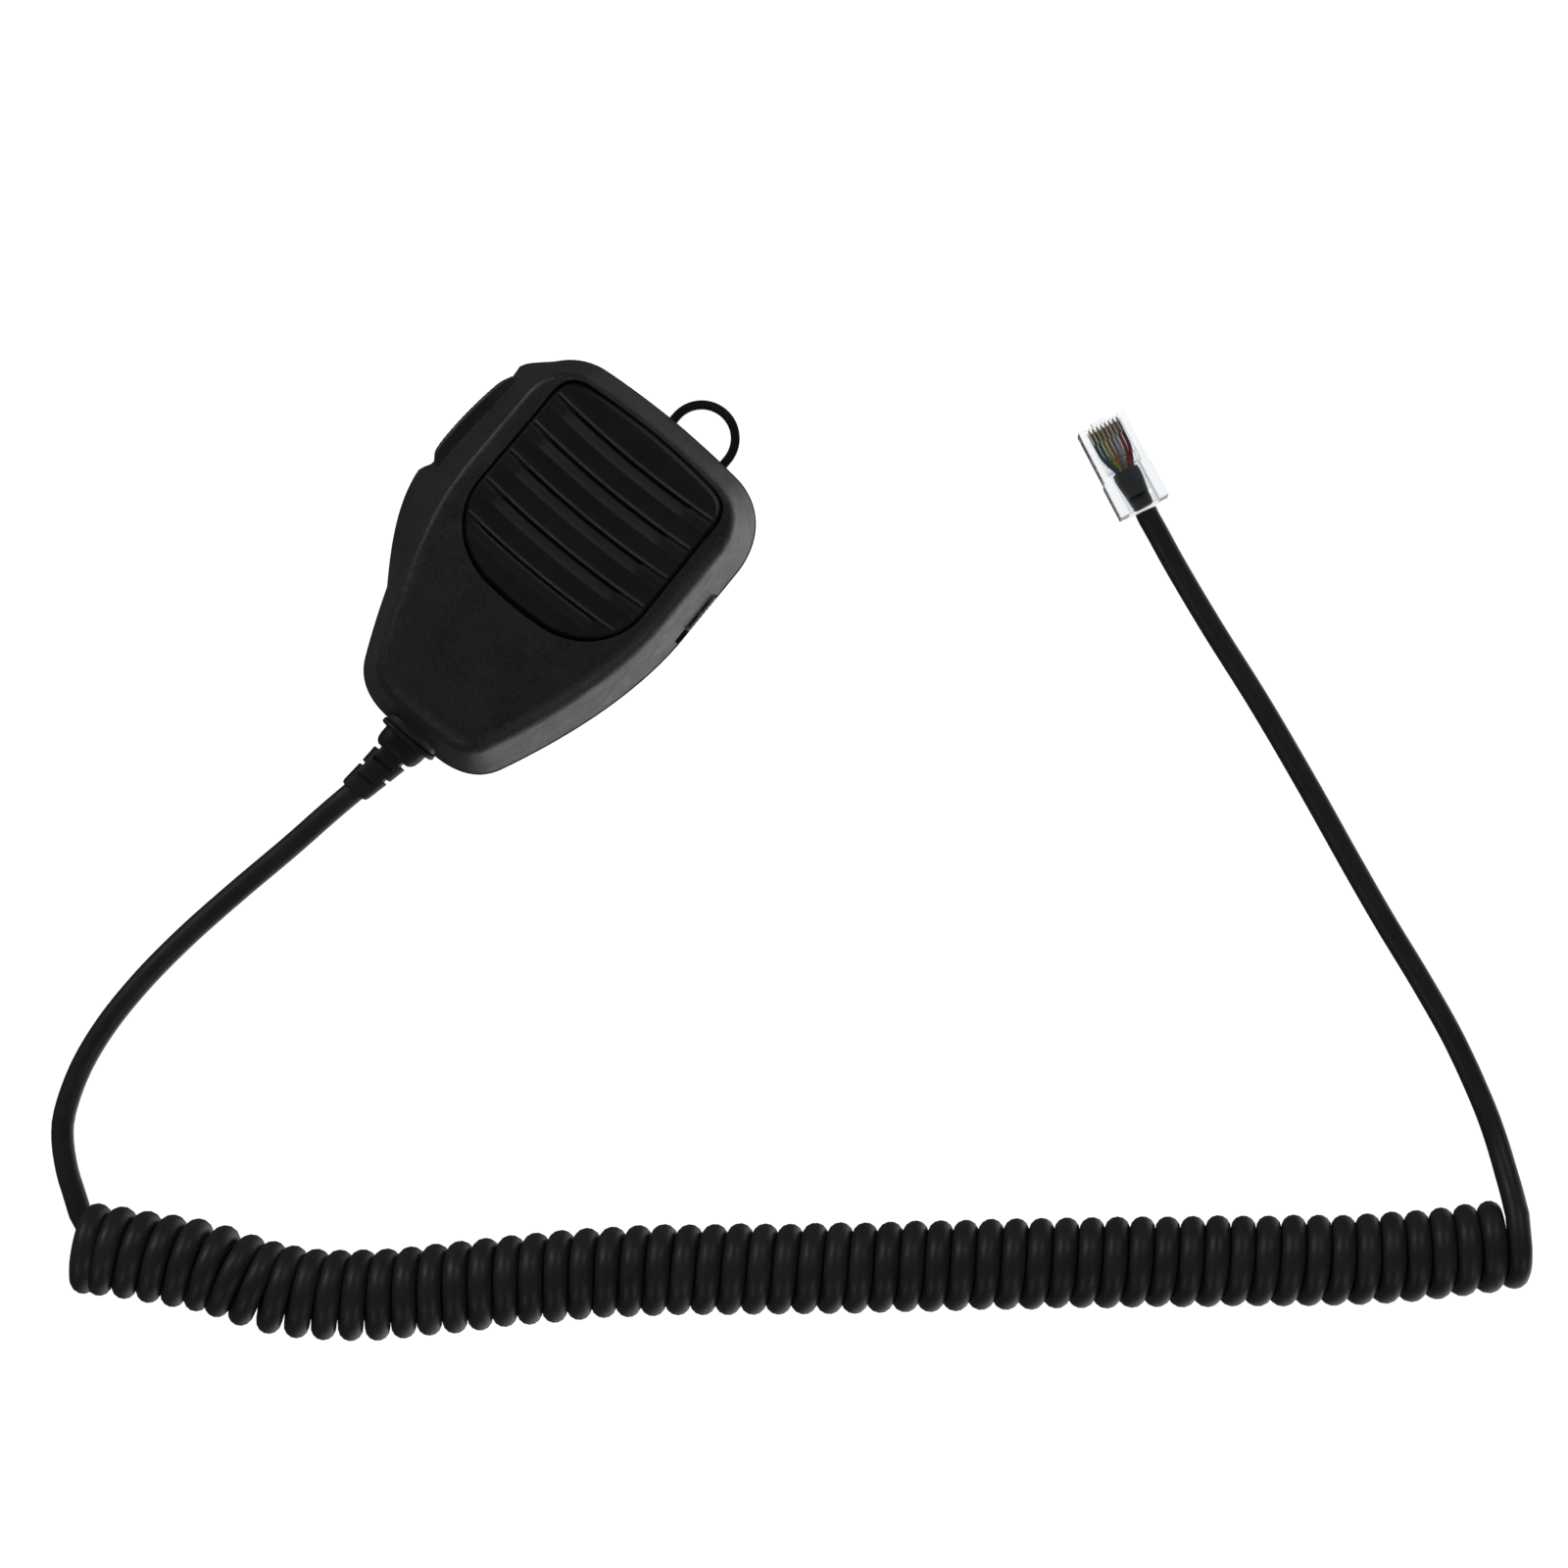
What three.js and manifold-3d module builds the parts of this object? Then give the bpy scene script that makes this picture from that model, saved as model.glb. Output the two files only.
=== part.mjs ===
// Hand microphone for a two-way radio, with a curly cord and an eight-way modular plug, in millimetres.
// It lies on its back: +Z points out of the front face, +Y towards the hanger loop and +X towards the
// slide switch. The origin is on the flat of the back, under the middle of the body.
import * as THREE from "three";
import { mergeVertices } from "three/addons/utils/BufferGeometryUtils.js";
import Module from "manifold-3d";

const wasm = await Module();
wasm.setup();

// ---------- Driving dimensions ----------
const GAP = 0.3; // clearance between pieces that touch
const WALL = 2; // wall of the two housing shells
const DEPTH = 30.6; // back to the crown of the front face
const PARTING_Z = 11; // where the rear cover ends and the front shell begins
const CAVITY_CEILING_Z = 27.2;

const PANEL_BOTTOM_Z = 27; // underside of the louvred grille panel
const PANEL_VALLEY_Z = 28.7; // valley under the edge of a slat
const PANEL_SLAT_Z = 30.2; // upper end of a slat's flat
const PANEL_RIDGE_Z = 30.7; // lower, raised edge of a slat
const TRAY_Z = [24.1, 26.1]; // floor of the recess that holds the panel
const RIDGE_TOP_Y = 33.9; // first ridge between two slats
const RIDGE_PITCH = 8.25;
const RIDGE_COUNT = 5;
const LOUVRE_SLOT = { halfWidth: 16.8, top: -0.4, bottom: -1.6 }; // top and bottom are below each ridge

const PTT = { top: 31, bottom: 5.2, low: 4.6, high: 15.4, innerX: -32.6 };
const PTT_PIVOT = { x: -29.6, y: 28.5, pinRadius: 1, boreRadius: 1.3, bossRadius: 2.5 };
const PTT_SWITCH_Y = 12;
const SLIDER = { bottom: 12, top: 22.1, low: 10.2, high: 13.8, outerX: 34, teeth: 9 };
const SLIDER_TRAVEL = 3.4;

const CASE_SCREWS = [[-25, 34], [25, 34], [0, -31]];
const BOARD_SCREWS = [[-19, 24], [18, -12]];
const HANGER_SCREWS = [[1.5, 29.5], [11.5, 29.5]];
const CLAMP_SCREWS = [[-6.6, -38.6], [5.6, -38.6]];
const BOARD_Z = [6.5, 8.1];
const BOARD_TOP = BOARD_Z[1] + GAP;
const CAPSULE = { x: 0, y: 13, radius: 4.85, low: 17.1, high: 23.5 };
const BOOT_RADIUS = 6.5;

const LOOP = { x: 6.5, y: 48.7, outer: 8.8, band: 2.1, low: 0.2, high: 1.7 };
const HANGER_PLATE = { left: -3.3, right: 16.3, bottom: 25, top: 40 };

const CORD_RADIUS = 2.6;
const CURL_RADIUS = 10.3; // outside of the curly part
const RELIEF_INNER_Y = -41.5;
const RELIEF_START_Y = -47.4;
const RELIEF_END_Y = -63.6;
const RELIEF_Z = 11.2;
const PLUG = { length: 22, halfWidth: 5.85, height: 6.6 };
const PLUG_PLACE = { x: 95.9, y: 100.8, z: 3.4, turn: 66.5, tilt: -5.7 }; // middle of its cable end
const WIRE_PITCH = 1.02;

// Routes of the cord's centre line.
const LEAD_FROM_MICROPHONE = [
  [-2.5, -64.4, 11.1], [-3.5, -69.5, 10.3], [-4.4, -74.4, 9.3], [-6.2, -84.7, 7.1], [-9.3, -100.6, 4.3],
  [-11.8, -115.9, 2.9], [-13.1, -130.2, 2.7], [-13, -143.4, 2.7], [-11.2, -155.1, 2.7],
  [-7.5, -165.3, 2.7], [-3.6, -170.8, 2.7], [1.6, -175.4, 2.7], [4.9, -177.6, 2.7],
];
const CURL = [
  [12.2, -187.7], [28.7, -177.2], [43.6, -168.9], [54.3, -165.2], [68.2, -156.2], [80.9, -144.6],
  [97.6, -127.3], [117.3, -108.2], [151.5, -79.2], [187.2, -48.2], [220.9, -19.6], [244, 0],
  [260, 15.8], [269.6, 26.6],
];
const LEAD_TO_PLUG = [
  [259.2, 34.2, 10.4], [255.6, 37.2, 7.6], [250.4, 41, 5], [242.4, 45.9, 3.1], [229, 52.4, 2.7],
  [214.4, 58, 2.7], [199.4, 63.2, 2.7], [184.7, 68.7, 2.7], [165.3, 76.2, 2.7], [145.6, 83.4, 2.7],
  [125.3, 90.1, 2.8], [110.2, 95.3, 4.4], [101.6, 98.5, 6],
];

// ---------- Materials ----------
const finish = (color, roughness, metalness = 0) =>
  new THREE.MeshStandardMaterial({ color, roughness, metalness });
const housingBlack = finish(0x1b1c1e, 0.62);
const grilleBlack = finish(0x161718, 0.55);
const keyBlack = finish(0x202123, 0.5);
const sliderBlack = finish(0x0e0e0f, 0.25);
const cordBlack = finish(0x18181a, 0.5);
const reliefBlack = finish(0x1a1a1c, 0.6);
const hangerBlack = finish(0x241c1a, 0.45, 0.3);
const screwSteel = finish(0x9a9ca0, 0.35, 1);
const brass = finish(0xc79a3a, 0.3, 1);
const boardGreen = finish(0x1d5a35, 0.5);
const partBlack = finish(0x111112, 0.45);
const connectorWhite = finish(0xe6e0d0, 0.5);
const capsuleSteel = finish(0xb7b9bb, 0.4, 1);
const feltBlack = finish(0x0b0b0b, 0.95);
const rubberBlack = finish(0x151515, 0.8);
const clearPlastic = finish(0xe8eef0, 0.08);
const wireFinishes = [0x2b56a8, 0x2f8a4a, 0xd9c63a, 0xc98a4a, 0x9a9aa0, 0xe9e9ea, 0xb23232, 0x7a2a26].map(
  (color) => finish(color, 0.45),
);

// ---------- Geometry helpers ----------
const at = (x, y) => new THREE.Vector2(x, y);

// A closed geometry as a manifold solid, for joining and cutting.
function solid(geometry) {
  const bare = geometry.clone();
  bare.deleteAttribute("normal");
  bare.deleteAttribute("uv");
  const merged = mergeVertices(bare, 1e-4);
  return new wasm.Manifold(
    new wasm.Mesh({
      numProp: 3,
      vertProperties: merged.attributes.position.array,
      triVerts: new Uint32Array(merged.index.array),
    }),
  );
}

function geometryOf(shape) {
  const mesh = shape.getMesh();
  const indexed = new THREE.BufferGeometry()
    .setAttribute("position", new THREE.BufferAttribute(mesh.vertProperties, 3))
    .setIndex(new THREE.BufferAttribute(mesh.triVerts, 1));
  const flat = indexed.toNonIndexed();
  flat.computeVertexNormals();
  return flat;
}

// Joins the first list of geometries and cuts the second list out of them.
function joined(added, cut = []) {
  let shape = solid(added[0]);
  for (const geometry of added.slice(1)) shape = shape.add(solid(geometry));
  for (const geometry of cut) shape = shape.subtract(solid(geometry));
  return geometryOf(shape);
}

function box(x0, x1, y0, y1, z0, z1) {
  return new THREE.BoxGeometry(x1 - x0, y1 - y0, z1 - z0).translate(
    (x0 + x1) / 2,
    (y0 + y1) / 2,
    (z0 + z1) / 2,
  );
}

// A round post standing along Z.
function post(x, y, z0, z1, radius, sides = 18) {
  return new THREE.CylinderGeometry(radius, radius, z1 - z0, sides)
    .rotateX(Math.PI / 2)
    .translate(x, y, (z0 + z1) / 2);
}

// A flat outline raised from z0 to z1.
function slab(points, z0, z1) {
  const raised = { depth: z1 - z0, bevelEnabled: false };
  return new THREE.ExtrudeGeometry(new THREE.Shape(points), raised).translate(0, 0, z0);
}

// A round tube of one radius along a list of points.
function tube(points, radius, sides, steps) {
  const path = new THREE.CatmullRomCurve3(points.map((p) => new THREE.Vector3(...p)));
  const section = new THREE.Shape(
    Array.from({ length: sides }, (_, i) => {
      const angle = (2 * Math.PI * i) / sides;
      return at(radius * Math.cos(angle), radius * Math.sin(angle));
    }),
  );
  return new THREE.ExtrudeGeometry(section, { steps, extrudePath: path });
}

// Skins a stack of rings of equal length and closes both ends. A ring is { points, z }.
function loft(rings) {
  const count = rings[0].points.length;
  const positions = rings.flatMap(({ points, z }) => points.flatMap((p) => [p.x, p.y, z]));
  const faces = [];
  for (let level = 0; level < rings.length - 1; level++) {
    for (let i = 0; i < count; i++) {
      const next = (i + 1) % count;
      const [a, b] = [level * count + i, level * count + next];
      faces.push(a, b, b + count, a, b + count, a + count);
    }
  }
  const lastRing = (rings.length - 1) * count;
  for (const [a, b, c] of THREE.ShapeUtils.triangulateShape(rings[0].points, [])) {
    faces.push(c, b, a);
  }
  for (const [a, b, c] of THREE.ShapeUtils.triangulateShape(rings.at(-1).points, [])) {
    faces.push(lastRing + a, lastRing + b, lastRing + c);
  }
  return new THREE.BufferGeometry()
    .setAttribute("position", new THREE.Float32BufferAttribute(positions, 3))
    .setIndex(faces);
}

// Moves each point of a counter-clockwise ring inwards, square to the ring.
function insetRing(points, distance) {
  return points.map((point, i) => {
    const before = points.at(i - 1);
    const after = points[(i + 1) % points.length];
    const along = after.clone().sub(before).normalize();
    return at(point.x - along.y * distance, point.y + along.x * distance);
  });
}

// Mirrors a right-hand half outline, listed from its top centre to its bottom centre, into a full ring.
function mirroredRing(curves, steps) {
  const right = curves.flatMap((curve, i) => curve.getPoints(steps[i]).slice(i ? 1 : 0));
  const left = right.map((p) => at(-p.x, p.y));
  return [...left, ...right.slice(1, -1).reverse()];
}

// ---------- Outlines ----------
const BODY_RING = mirroredRing(
  [
    new THREE.QuadraticBezierCurve(at(0, 47.2), at(11, 47.1), at(20.3, 46.1)),
    new THREE.CubicBezierCurve(at(20.3, 46.1), at(28.5, 44.6), at(32.9, 38), at(33.2, 30)),
    new THREE.LineCurve(at(33.2, 30), at(33.3, 12)),
    new THREE.QuadraticBezierCurve(at(33.3, 12), at(33.9, -10), at(20.3, -39.5)),
    new THREE.QuadraticBezierCurve(at(20.3, -39.5), at(17.2, -46.3), at(8, -46.9)),
    new THREE.LineCurve(at(8, -46.9), at(0, -47.1)),
  ],
  [3, 7, 7, 12, 5, 1],
);

const PANEL_RING = mirroredRing(
  [
    new THREE.QuadraticBezierCurve(at(0, 40.6), at(9, 40.5), at(17, 39.7)),
    new THREE.CubicBezierCurve(at(17, 39.7), at(21.5, 39.2), at(23.3, 37.5), at(23.4, 32.5)),
    new THREE.LineCurve(at(23.4, 32.5), at(23.7, 8)),
    new THREE.CubicBezierCurve(at(23.7, 8), at(23.6, 0.5), at(18.5, -6.2), at(9, -8)),
    new THREE.QuadraticBezierCurve(at(9, -8), at(4, -8.5), at(0, -8.5)),
  ],
  [3, 5, 1, 6, 2],
);

// How far the left flank stands out beyond the symmetric outline: a shoulder above the push-to-talk
// key, the strip over the key, and the rest for the middle finger below it.
function fingerRest(y) {
  const REST_END = -24;
  const REST_TOP = 1;
  const KEY_END = 5;
  const SHOULDER = 33;
  const BODY_CORNER = 40;
  if (y <= REST_END || y >= BODY_CORNER) return 0;
  if (y <= REST_TOP) return 5.4 * Math.sin((Math.PI / 2) * ((y - REST_END) / (REST_TOP - REST_END)));
  if (y <= KEY_END) return THREE.MathUtils.lerp(5.4, 3.5, (y - REST_TOP) / (KEY_END - REST_TOP));
  if (y <= SHOULDER) return THREE.MathUtils.lerp(3.5, 2.4, (y - KEY_END) / (SHOULDER - KEY_END));
  return THREE.MathUtils.lerp(2.4, 0, (y - SHOULDER) / (BODY_CORNER - SHOULDER));
}

// The body's ring, inset and with a share of the finger rest, at height z.
function bodyRing(inset, restShare, z) {
  const ring = insetRing(BODY_RING, inset);
  for (const p of ring) if (p.x < 0) p.x -= restShare * fingerRest(p.y);
  return { points: ring, z };
}

// A ring drawn in towards the middle of the front face, to crown it.
function crownRing(scale, z) {
  const { points } = bodyRing(7.4, 0.1, z);
  return { points: points.map((p) => p.clone().multiplyScalar(scale)), z };
}

const OUTER_BACK = [[6.6, 0.3, 0], [4.6, 0.6, 0.7], [2.6, 0.8, 2.4], [1, 0.95, 5.2], [0.2, 1, 8.2], [0, 1, PARTING_Z]];
const INNER_BACK = [[6.2, 0.4, WALL], [3.2, 0.8, 5.4], [WALL + 0.2, 1, 8.2], [WALL, 1, PARTING_Z + 1]];
const OUTER_FRONT = [[0.3, 1, PARTING_Z + GAP], [1.7, 0.7, 16.5], [4.3, 0.22, 26], [5, 0.15, 27.6], [6, 0.1, 28.7], [7.4, 0.1, 29.4]];
const INNER_FRONT = [[0.3 + WALL, 1, PARTING_Z - 1], [0.3 + WALL, 1, PARTING_Z + GAP], [6.2, 0.22, 25.4], [7.4, 0.15, CAVITY_CEILING_Z]];
const rings = (levels) => levels.map(([inset, restShare, z]) => bodyRing(inset, restShare, z));
const outerFront = () => loft([...rings(OUTER_FRONT), crownRing(0.75, 30.2), crownRing(0.4, DEPTH)]);
const outerBack = () => loft(rings(OUTER_BACK));

// ---------- Cuts that both shells share ----------
const keyOpening = () => box(-42, -31, PTT.bottom - 0.8, PTT.top + GAP, PTT.low - GAP, PTT.high + GAP);
const sliderOpening = () =>
  box(28, 36, SLIDER.bottom - SLIDER_TRAVEL - GAP, SLIDER.top + GAP, SLIDER.low - GAP, SLIDER.high + GAP);
const cordOpening = () =>
  new THREE.CylinderGeometry(4.9, 4.9, 8, 20).scale(1, 1, 0.9).translate(-0.6, -46, RELIEF_Z);

// ---------- Housing ----------
function frontShell() {
  const inside = solid(loft(rings(INNER_FRONT)));
  const holder = post(CAPSULE.x, CAPSULE.y, 17, TRAY_Z[1], BOOT_RADIUS + 2.2, 24);
  const fittings = [
    slab(insetRing(PANEL_RING, -2.2), TRAY_Z[0], 28),
    holder,
    ...CASE_SCREWS.map(([x, y]) => post(x, y, 9.8, 28, 3.25)),
    post(PTT_PIVOT.x, PTT_PIVOT.y, 14.7, 28, PTT_PIVOT.bossRadius),
  ];
  let shape = solid(outerFront()).subtract(inside);
  for (const fitting of fittings) shape = shape.add(solid(fitting).intersect(solid(outerFront())));
  const posts = CASE_SCREWS.map(([x, y]) => solid(post(x, y, 9.8, 28, 3.25)));
  for (const [i, piece] of posts.entries()) {
    const [x, y] = CASE_SCREWS[i];
    const tip = solid(box(x - 4, x + 4, y - 4, y + 4, 9.8, PARTING_Z + 2));
    shape = shape.add(piece.intersect(tip));
  }
  const cuts = [
    slab(insetRing(PANEL_RING, -0.5), TRAY_Z[1], DEPTH + 1),
    post(CAPSULE.x, CAPSULE.y, 10, TRAY_Z[0], BOOT_RADIUS + GAP, 24),
    post(CAPSULE.x, CAPSULE.y, 20, DEPTH, 4),
    ...[0, 1, 4].map((i) => {
      const ridge = RIDGE_TOP_Y - i * RIDGE_PITCH;
      return box(-15, 15, ridge - 3, ridge, 22, 28);
    }),
    ...CASE_SCREWS.map(([x, y]) => post(x, y, 9, 17, 1.7)),
    post(PTT_PIVOT.x, PTT_PIVOT.y, 14, 18, PTT_PIVOT.boreRadius),
    keyOpening(),
    sliderOpening(),
    cordOpening(),
  ];
  for (const cut of cuts) shape = shape.subtract(solid(cut));
  return geometryOf(shape);
}

function rearCover() {
  let shape = solid(outerBack()).subtract(solid(loft(rings(INNER_BACK))));
  const fittings = [
    box(HANGER_PLATE.left - 1.6, HANGER_PLATE.right + 1.6, HANGER_PLATE.bottom - 1.6, 46, 1, 3.8),
    ...CASE_SCREWS.map(([x, y]) => post(x, y, 1, 9.5, 3.5)),
    ...BOARD_SCREWS.map(([x, y]) => post(x, y, 1, BOARD_Z[0] - GAP, 3)),
    ...HANGER_SCREWS.map(([x, y]) => post(x, y, 1, BOARD_Z[0] - GAP, 2.6)),
    ...CLAMP_SCREWS.map(([x, y]) => post(x, y, 1, 14.1, 2.3)),
    post(PTT_PIVOT.x, PTT_PIVOT.y, 2, 5.6, PTT_PIVOT.bossRadius),
  ];
  const roomAbove = solid(box(-60, 60, -60, 60, PARTING_Z - 1, 20));
  const room = solid(outerBack()).add(roomAbove);
  for (const fitting of fittings) shape = shape.add(solid(fitting).intersect(room));
  const legHalf = LOOP.outer + GAP;
  const cuts = [
    box(HANGER_PLATE.left - GAP, HANGER_PLATE.right + GAP, HANGER_PLATE.bottom - GAP, HANGER_PLATE.top + GAP, -1, 2),
    box(LOOP.x - legHalf, LOOP.x + legHalf, HANGER_PLATE.top - 1, 60, -1, 2),
    ...CASE_SCREWS.map(([x, y]) => post(x, y, -1, 3.1, 2.9)),
    ...CASE_SCREWS.map(([x, y]) => post(x, y, -1, 10, 1.7)),
    ...BOARD_SCREWS.map(([x, y]) => post(x, y, 2.7, 7, 1.4)),
    ...HANGER_SCREWS.map(([x, y]) => post(x, y, -1, 5.9, 1.4)),
    ...CLAMP_SCREWS.map(([x, y]) => post(x, y, 7.5, 15, 1.3)),
    post(PTT_PIVOT.x, PTT_PIVOT.y, 3, 7, PTT_PIVOT.boreRadius),
    keyOpening(),
    sliderOpening(),
    cordOpening(),
  ];
  for (const cut of cuts) shape = shape.subtract(solid(cut));
  return geometryOf(shape);
}

// Slats like overlapping shingles: each rises to a ridge at its lower edge, above a valley with a slot in it.
function grillePanel() {
  const profile = [at(60, PANEL_BOTTOM_Z), at(60, PANEL_SLAT_Z)];
  for (let i = 0; i < RIDGE_COUNT; i++) {
    const ridge = RIDGE_TOP_Y - i * RIDGE_PITCH;
    profile.push(
      at(ridge + 0.3, PANEL_RIDGE_Z),
      at(ridge, PANEL_RIDGE_Z - 0.1),
      at(ridge - 0.3, PANEL_VALLEY_Z),
      at(ridge - 1.2, PANEL_VALLEY_Z),
      at(ridge - 3.2, PANEL_SLAT_Z),
    );
  }
  profile.push(at(-10, PANEL_SLAT_Z), at(-10, PANEL_BOTTOM_Z));
  const slats = new THREE.ExtrudeGeometry(new THREE.Shape(profile), { depth: 60, bevelEnabled: false })
    .rotateX(Math.PI / 2)
    .rotateZ(Math.PI / 2)
    .translate(-30, 0, 0);
  const bevelledPanel = loft([
    { points: PANEL_RING, z: PANEL_BOTTOM_Z - 1 },
    { points: PANEL_RING, z: PANEL_VALLEY_Z + 0.3 },
    { points: insetRing(PANEL_RING, 1.5), z: DEPTH + 0.5 },
  ]);
  let shape = solid(slats).intersect(solid(bevelledPanel));
  for (let i = 0; i < RIDGE_COUNT; i++) {
    const ridge = RIDGE_TOP_Y - i * RIDGE_PITCH;
    const { halfWidth, top, bottom } = LOUVRE_SLOT;
    shape = shape.subtract(solid(box(-halfWidth, halfWidth, ridge + bottom, ridge + top, 26, 32)));
  }
  return geometryOf(shape);
}

const grilleCloth = () => slab(insetRing(PANEL_RING, 1.2), TRAY_Z[1] + GAP, TRAY_Z[1] + 2 * GAP);

// ---------- Fasteners ----------
// A pan-head screw along Z with a cross slot. The head starts at headZ and the shank ends at tipZ.
function screw(x, y, headZ, tipZ, headRadius, headHeight, shankRadius) {
  const direction = Math.sign(tipZ - headZ);
  const neckZ = headZ + direction * headHeight;
  const tip = Math.abs(tipZ - neckZ);
  const profile = [
    at(0, 0),
    at(headRadius * 0.85, 0),
    at(headRadius, headHeight * 0.35),
    at(headRadius, headHeight),
    at(shankRadius, headHeight),
    at(shankRadius, headHeight + tip - shankRadius),
    at(0, headHeight + tip),
  ];
  const turned = new THREE.LatheGeometry(profile, 14);
  const [slotHalf, slotDepth] = [headRadius * 0.55, headHeight * 0.5];
  const shape = joined(
    [turned],
    [
      box(-slotHalf, slotHalf, -1, slotDepth, -0.25, 0.25),
      box(-0.25, 0.25, -1, slotDepth, -slotHalf, slotHalf),
    ],
  );
  shape.rotateX(direction > 0 ? Math.PI / 2 : -Math.PI / 2);
  return shape.translate(x, y, headZ);
}

// ---------- Hanger ----------
// Stamped plate on the back with a round loop that stands out past the top edge.
function hangerPlate() {
  const { left, right, bottom, top } = HANGER_PLATE;
  const { x, y, outer, band, low, high } = LOOP;
  const arc = (radius, from, to, clockwise) => {
    const curve = new THREE.EllipseCurve(x, y, radius, radius, from, to, clockwise);
    return curve.getPoints(20);
  };
  const outside = [at(x - outer, top - 2), at(x + outer, top - 2), ...arc(outer, 0, Math.PI, false)];
  const inside = [
    at(x - outer + band, top),
    at(x + outer - band, top),
    ...arc(outer - band, 0, Math.PI, false),
  ];
  return joined(
    [box(left, right, bottom, top, low, high), slab(outside, low, high)],
    [
      slab(inside, low - 1, high + 1),
      ...HANGER_SCREWS.map(([sx, sy]) => post(sx, sy, low - 1, high + 1, 1.4)),
      ...HANGER_SCREWS.map(([sx, sy]) => post(sx, sy, low - 1, 1.2 + GAP, 2.5)),
    ],
  );
}

// ---------- Push-to-talk key and its switch ----------
function pttKey() {
  const face = new THREE.SplineCurve([
    at(-35.6, PTT.top), at(-36.8, 27.7), at(-37.6, 20), at(-37.8, 12), at(-37.4, 7), at(-36.2, PTT.bottom),
  ]);
  const outline = [...face.getPoints(12), at(PTT.innerX, PTT.bottom), at(PTT.innerX, PTT.top)];
  const bevel = 0.6;
  const cap = new THREE.ExtrudeGeometry(new THREE.Shape(outline), {
    depth: PTT.high - PTT.low - 2 * bevel,
    bevelThickness: bevel,
    bevelSize: bevel,
    bevelOffset: -bevel,
    bevelSegments: 1,
  }).translate(0, 0, PTT.low + bevel);
  const { x, y, boreRadius } = PTT_PIVOT;
  return joined(
    [
      cap,
      box(PTT.innerX - 1.5, x, y - 2.4, y + 2.4, 6, 14.3),
      post(x, y, 6, 14.3, 2.4),
      box(PTT.innerX - 1, -30, PTT_SWITCH_Y - 1.5, PTT_SWITCH_Y + 1.5, 8.8, 12),
    ],
    [post(x, y, 5, 16, boreRadius)],
  );
}

const pttPin = () => post(PTT_PIVOT.x, PTT_PIVOT.y, 3 + GAP, 17.6, PTT_PIVOT.pinRadius, 14);

const PTT_PLUNGER = { outerX: -29.7, innerX: -26.2, half: 1, z: 10.4 };
const pttPlunger = () => {
  const { outerX, innerX, half, z } = PTT_PLUNGER;
  return box(outerX, innerX, PTT_SWITCH_Y - half, PTT_SWITCH_Y + half, z - half, z + half);
};
function pttSwitchBody() {
  const { half, z } = PTT_PLUNGER;
  const room = half + GAP;
  const well = box(-29, -24.6, PTT_SWITCH_Y - room, PTT_SWITCH_Y + room, z - room, z + room);
  return joined([box(-28, -22, PTT_SWITCH_Y - 4, PTT_SWITCH_Y + 4, BOARD_TOP, 12.4)], [well]);
}

// ---------- Slide switch ----------
const LEVER_Y = 17;
function slideKnob() {
  const { bottom, top, low, high, outerX, teeth } = SLIDER;
  const pitch = (top - bottom) / teeth;
  const grooves = Array.from({ length: teeth - 1 }, (_, i) => {
    const y = bottom + (i + 1) * pitch;
    return box(outerX - 0.6, outerX + 1, y - 0.22, y + 0.22, low - 1, high + 1);
  });
  return joined(
    [
      box(29.4, outerX, bottom, top, low, high),
      box(27.2, 29.6, LEVER_Y + 1.1, LEVER_Y + 2.3, 9.6, 11.6),
      box(27.2, 29.6, LEVER_Y - 2.3, LEVER_Y - 1.1, 9.6, 11.6),
      box(28.6, 29.8, bottom + 0.5, top - 0.5, 9, high - 0.3),
    ],
    grooves,
  );
}
const slideLever = () => box(25.2, 28.3, LEVER_Y - 0.8, LEVER_Y + 0.8, 9.8, 11.4);
function slideSwitchBody() {
  const slot = box(24.2, 28, LEVER_Y - 0.8 - SLIDER_TRAVEL - 0.5, LEVER_Y + 1.3, 9.5, 11.7);
  return joined([box(21, 26.9, 9.5, 23, BOARD_TOP, 12.2)], [slot]);
}

// ---------- Board and what it carries ----------
function circuitBoard() {
  const outline = [at(24.5, 29), at(-24.5, 29), at(-24.5, -10), at(-17, -20), at(17, -20), at(24.5, -10)];
  return joined(
    [slab(outline, ...BOARD_Z)],
    BOARD_SCREWS.map(([x, y]) => post(x, y, BOARD_Z[0] - 1, BOARD_Z[1] + 1, 1.4)),
  );
}

const micCapsule = () => post(CAPSULE.x, CAPSULE.y, CAPSULE.low, CAPSULE.high, CAPSULE.radius, 24);
const capsuleBoot = () =>
  joined(
    [post(CAPSULE.x, CAPSULE.y, 15.2, 23.8, BOOT_RADIUS, 24)],
    [
      post(CAPSULE.x, CAPSULE.y, CAPSULE.low - GAP, 25, CAPSULE.radius + GAP, 24),
      post(CAPSULE.x, CAPSULE.y, 14, 18, 1.9),
    ],
  );
const capsuleLead = (side) =>
  tube(
    [
      [side * 0.9, CAPSULE.y, CAPSULE.low - GAP],
      [side * 0.9, CAPSULE.y, 14.6],
      [side * 2.4, 10, 11.2],
      [side * 2.6, 9, 9.4],
      [side * 2.6, 8.9, BOARD_TOP],
    ],
    0.45, 6, 8,
  );

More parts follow.
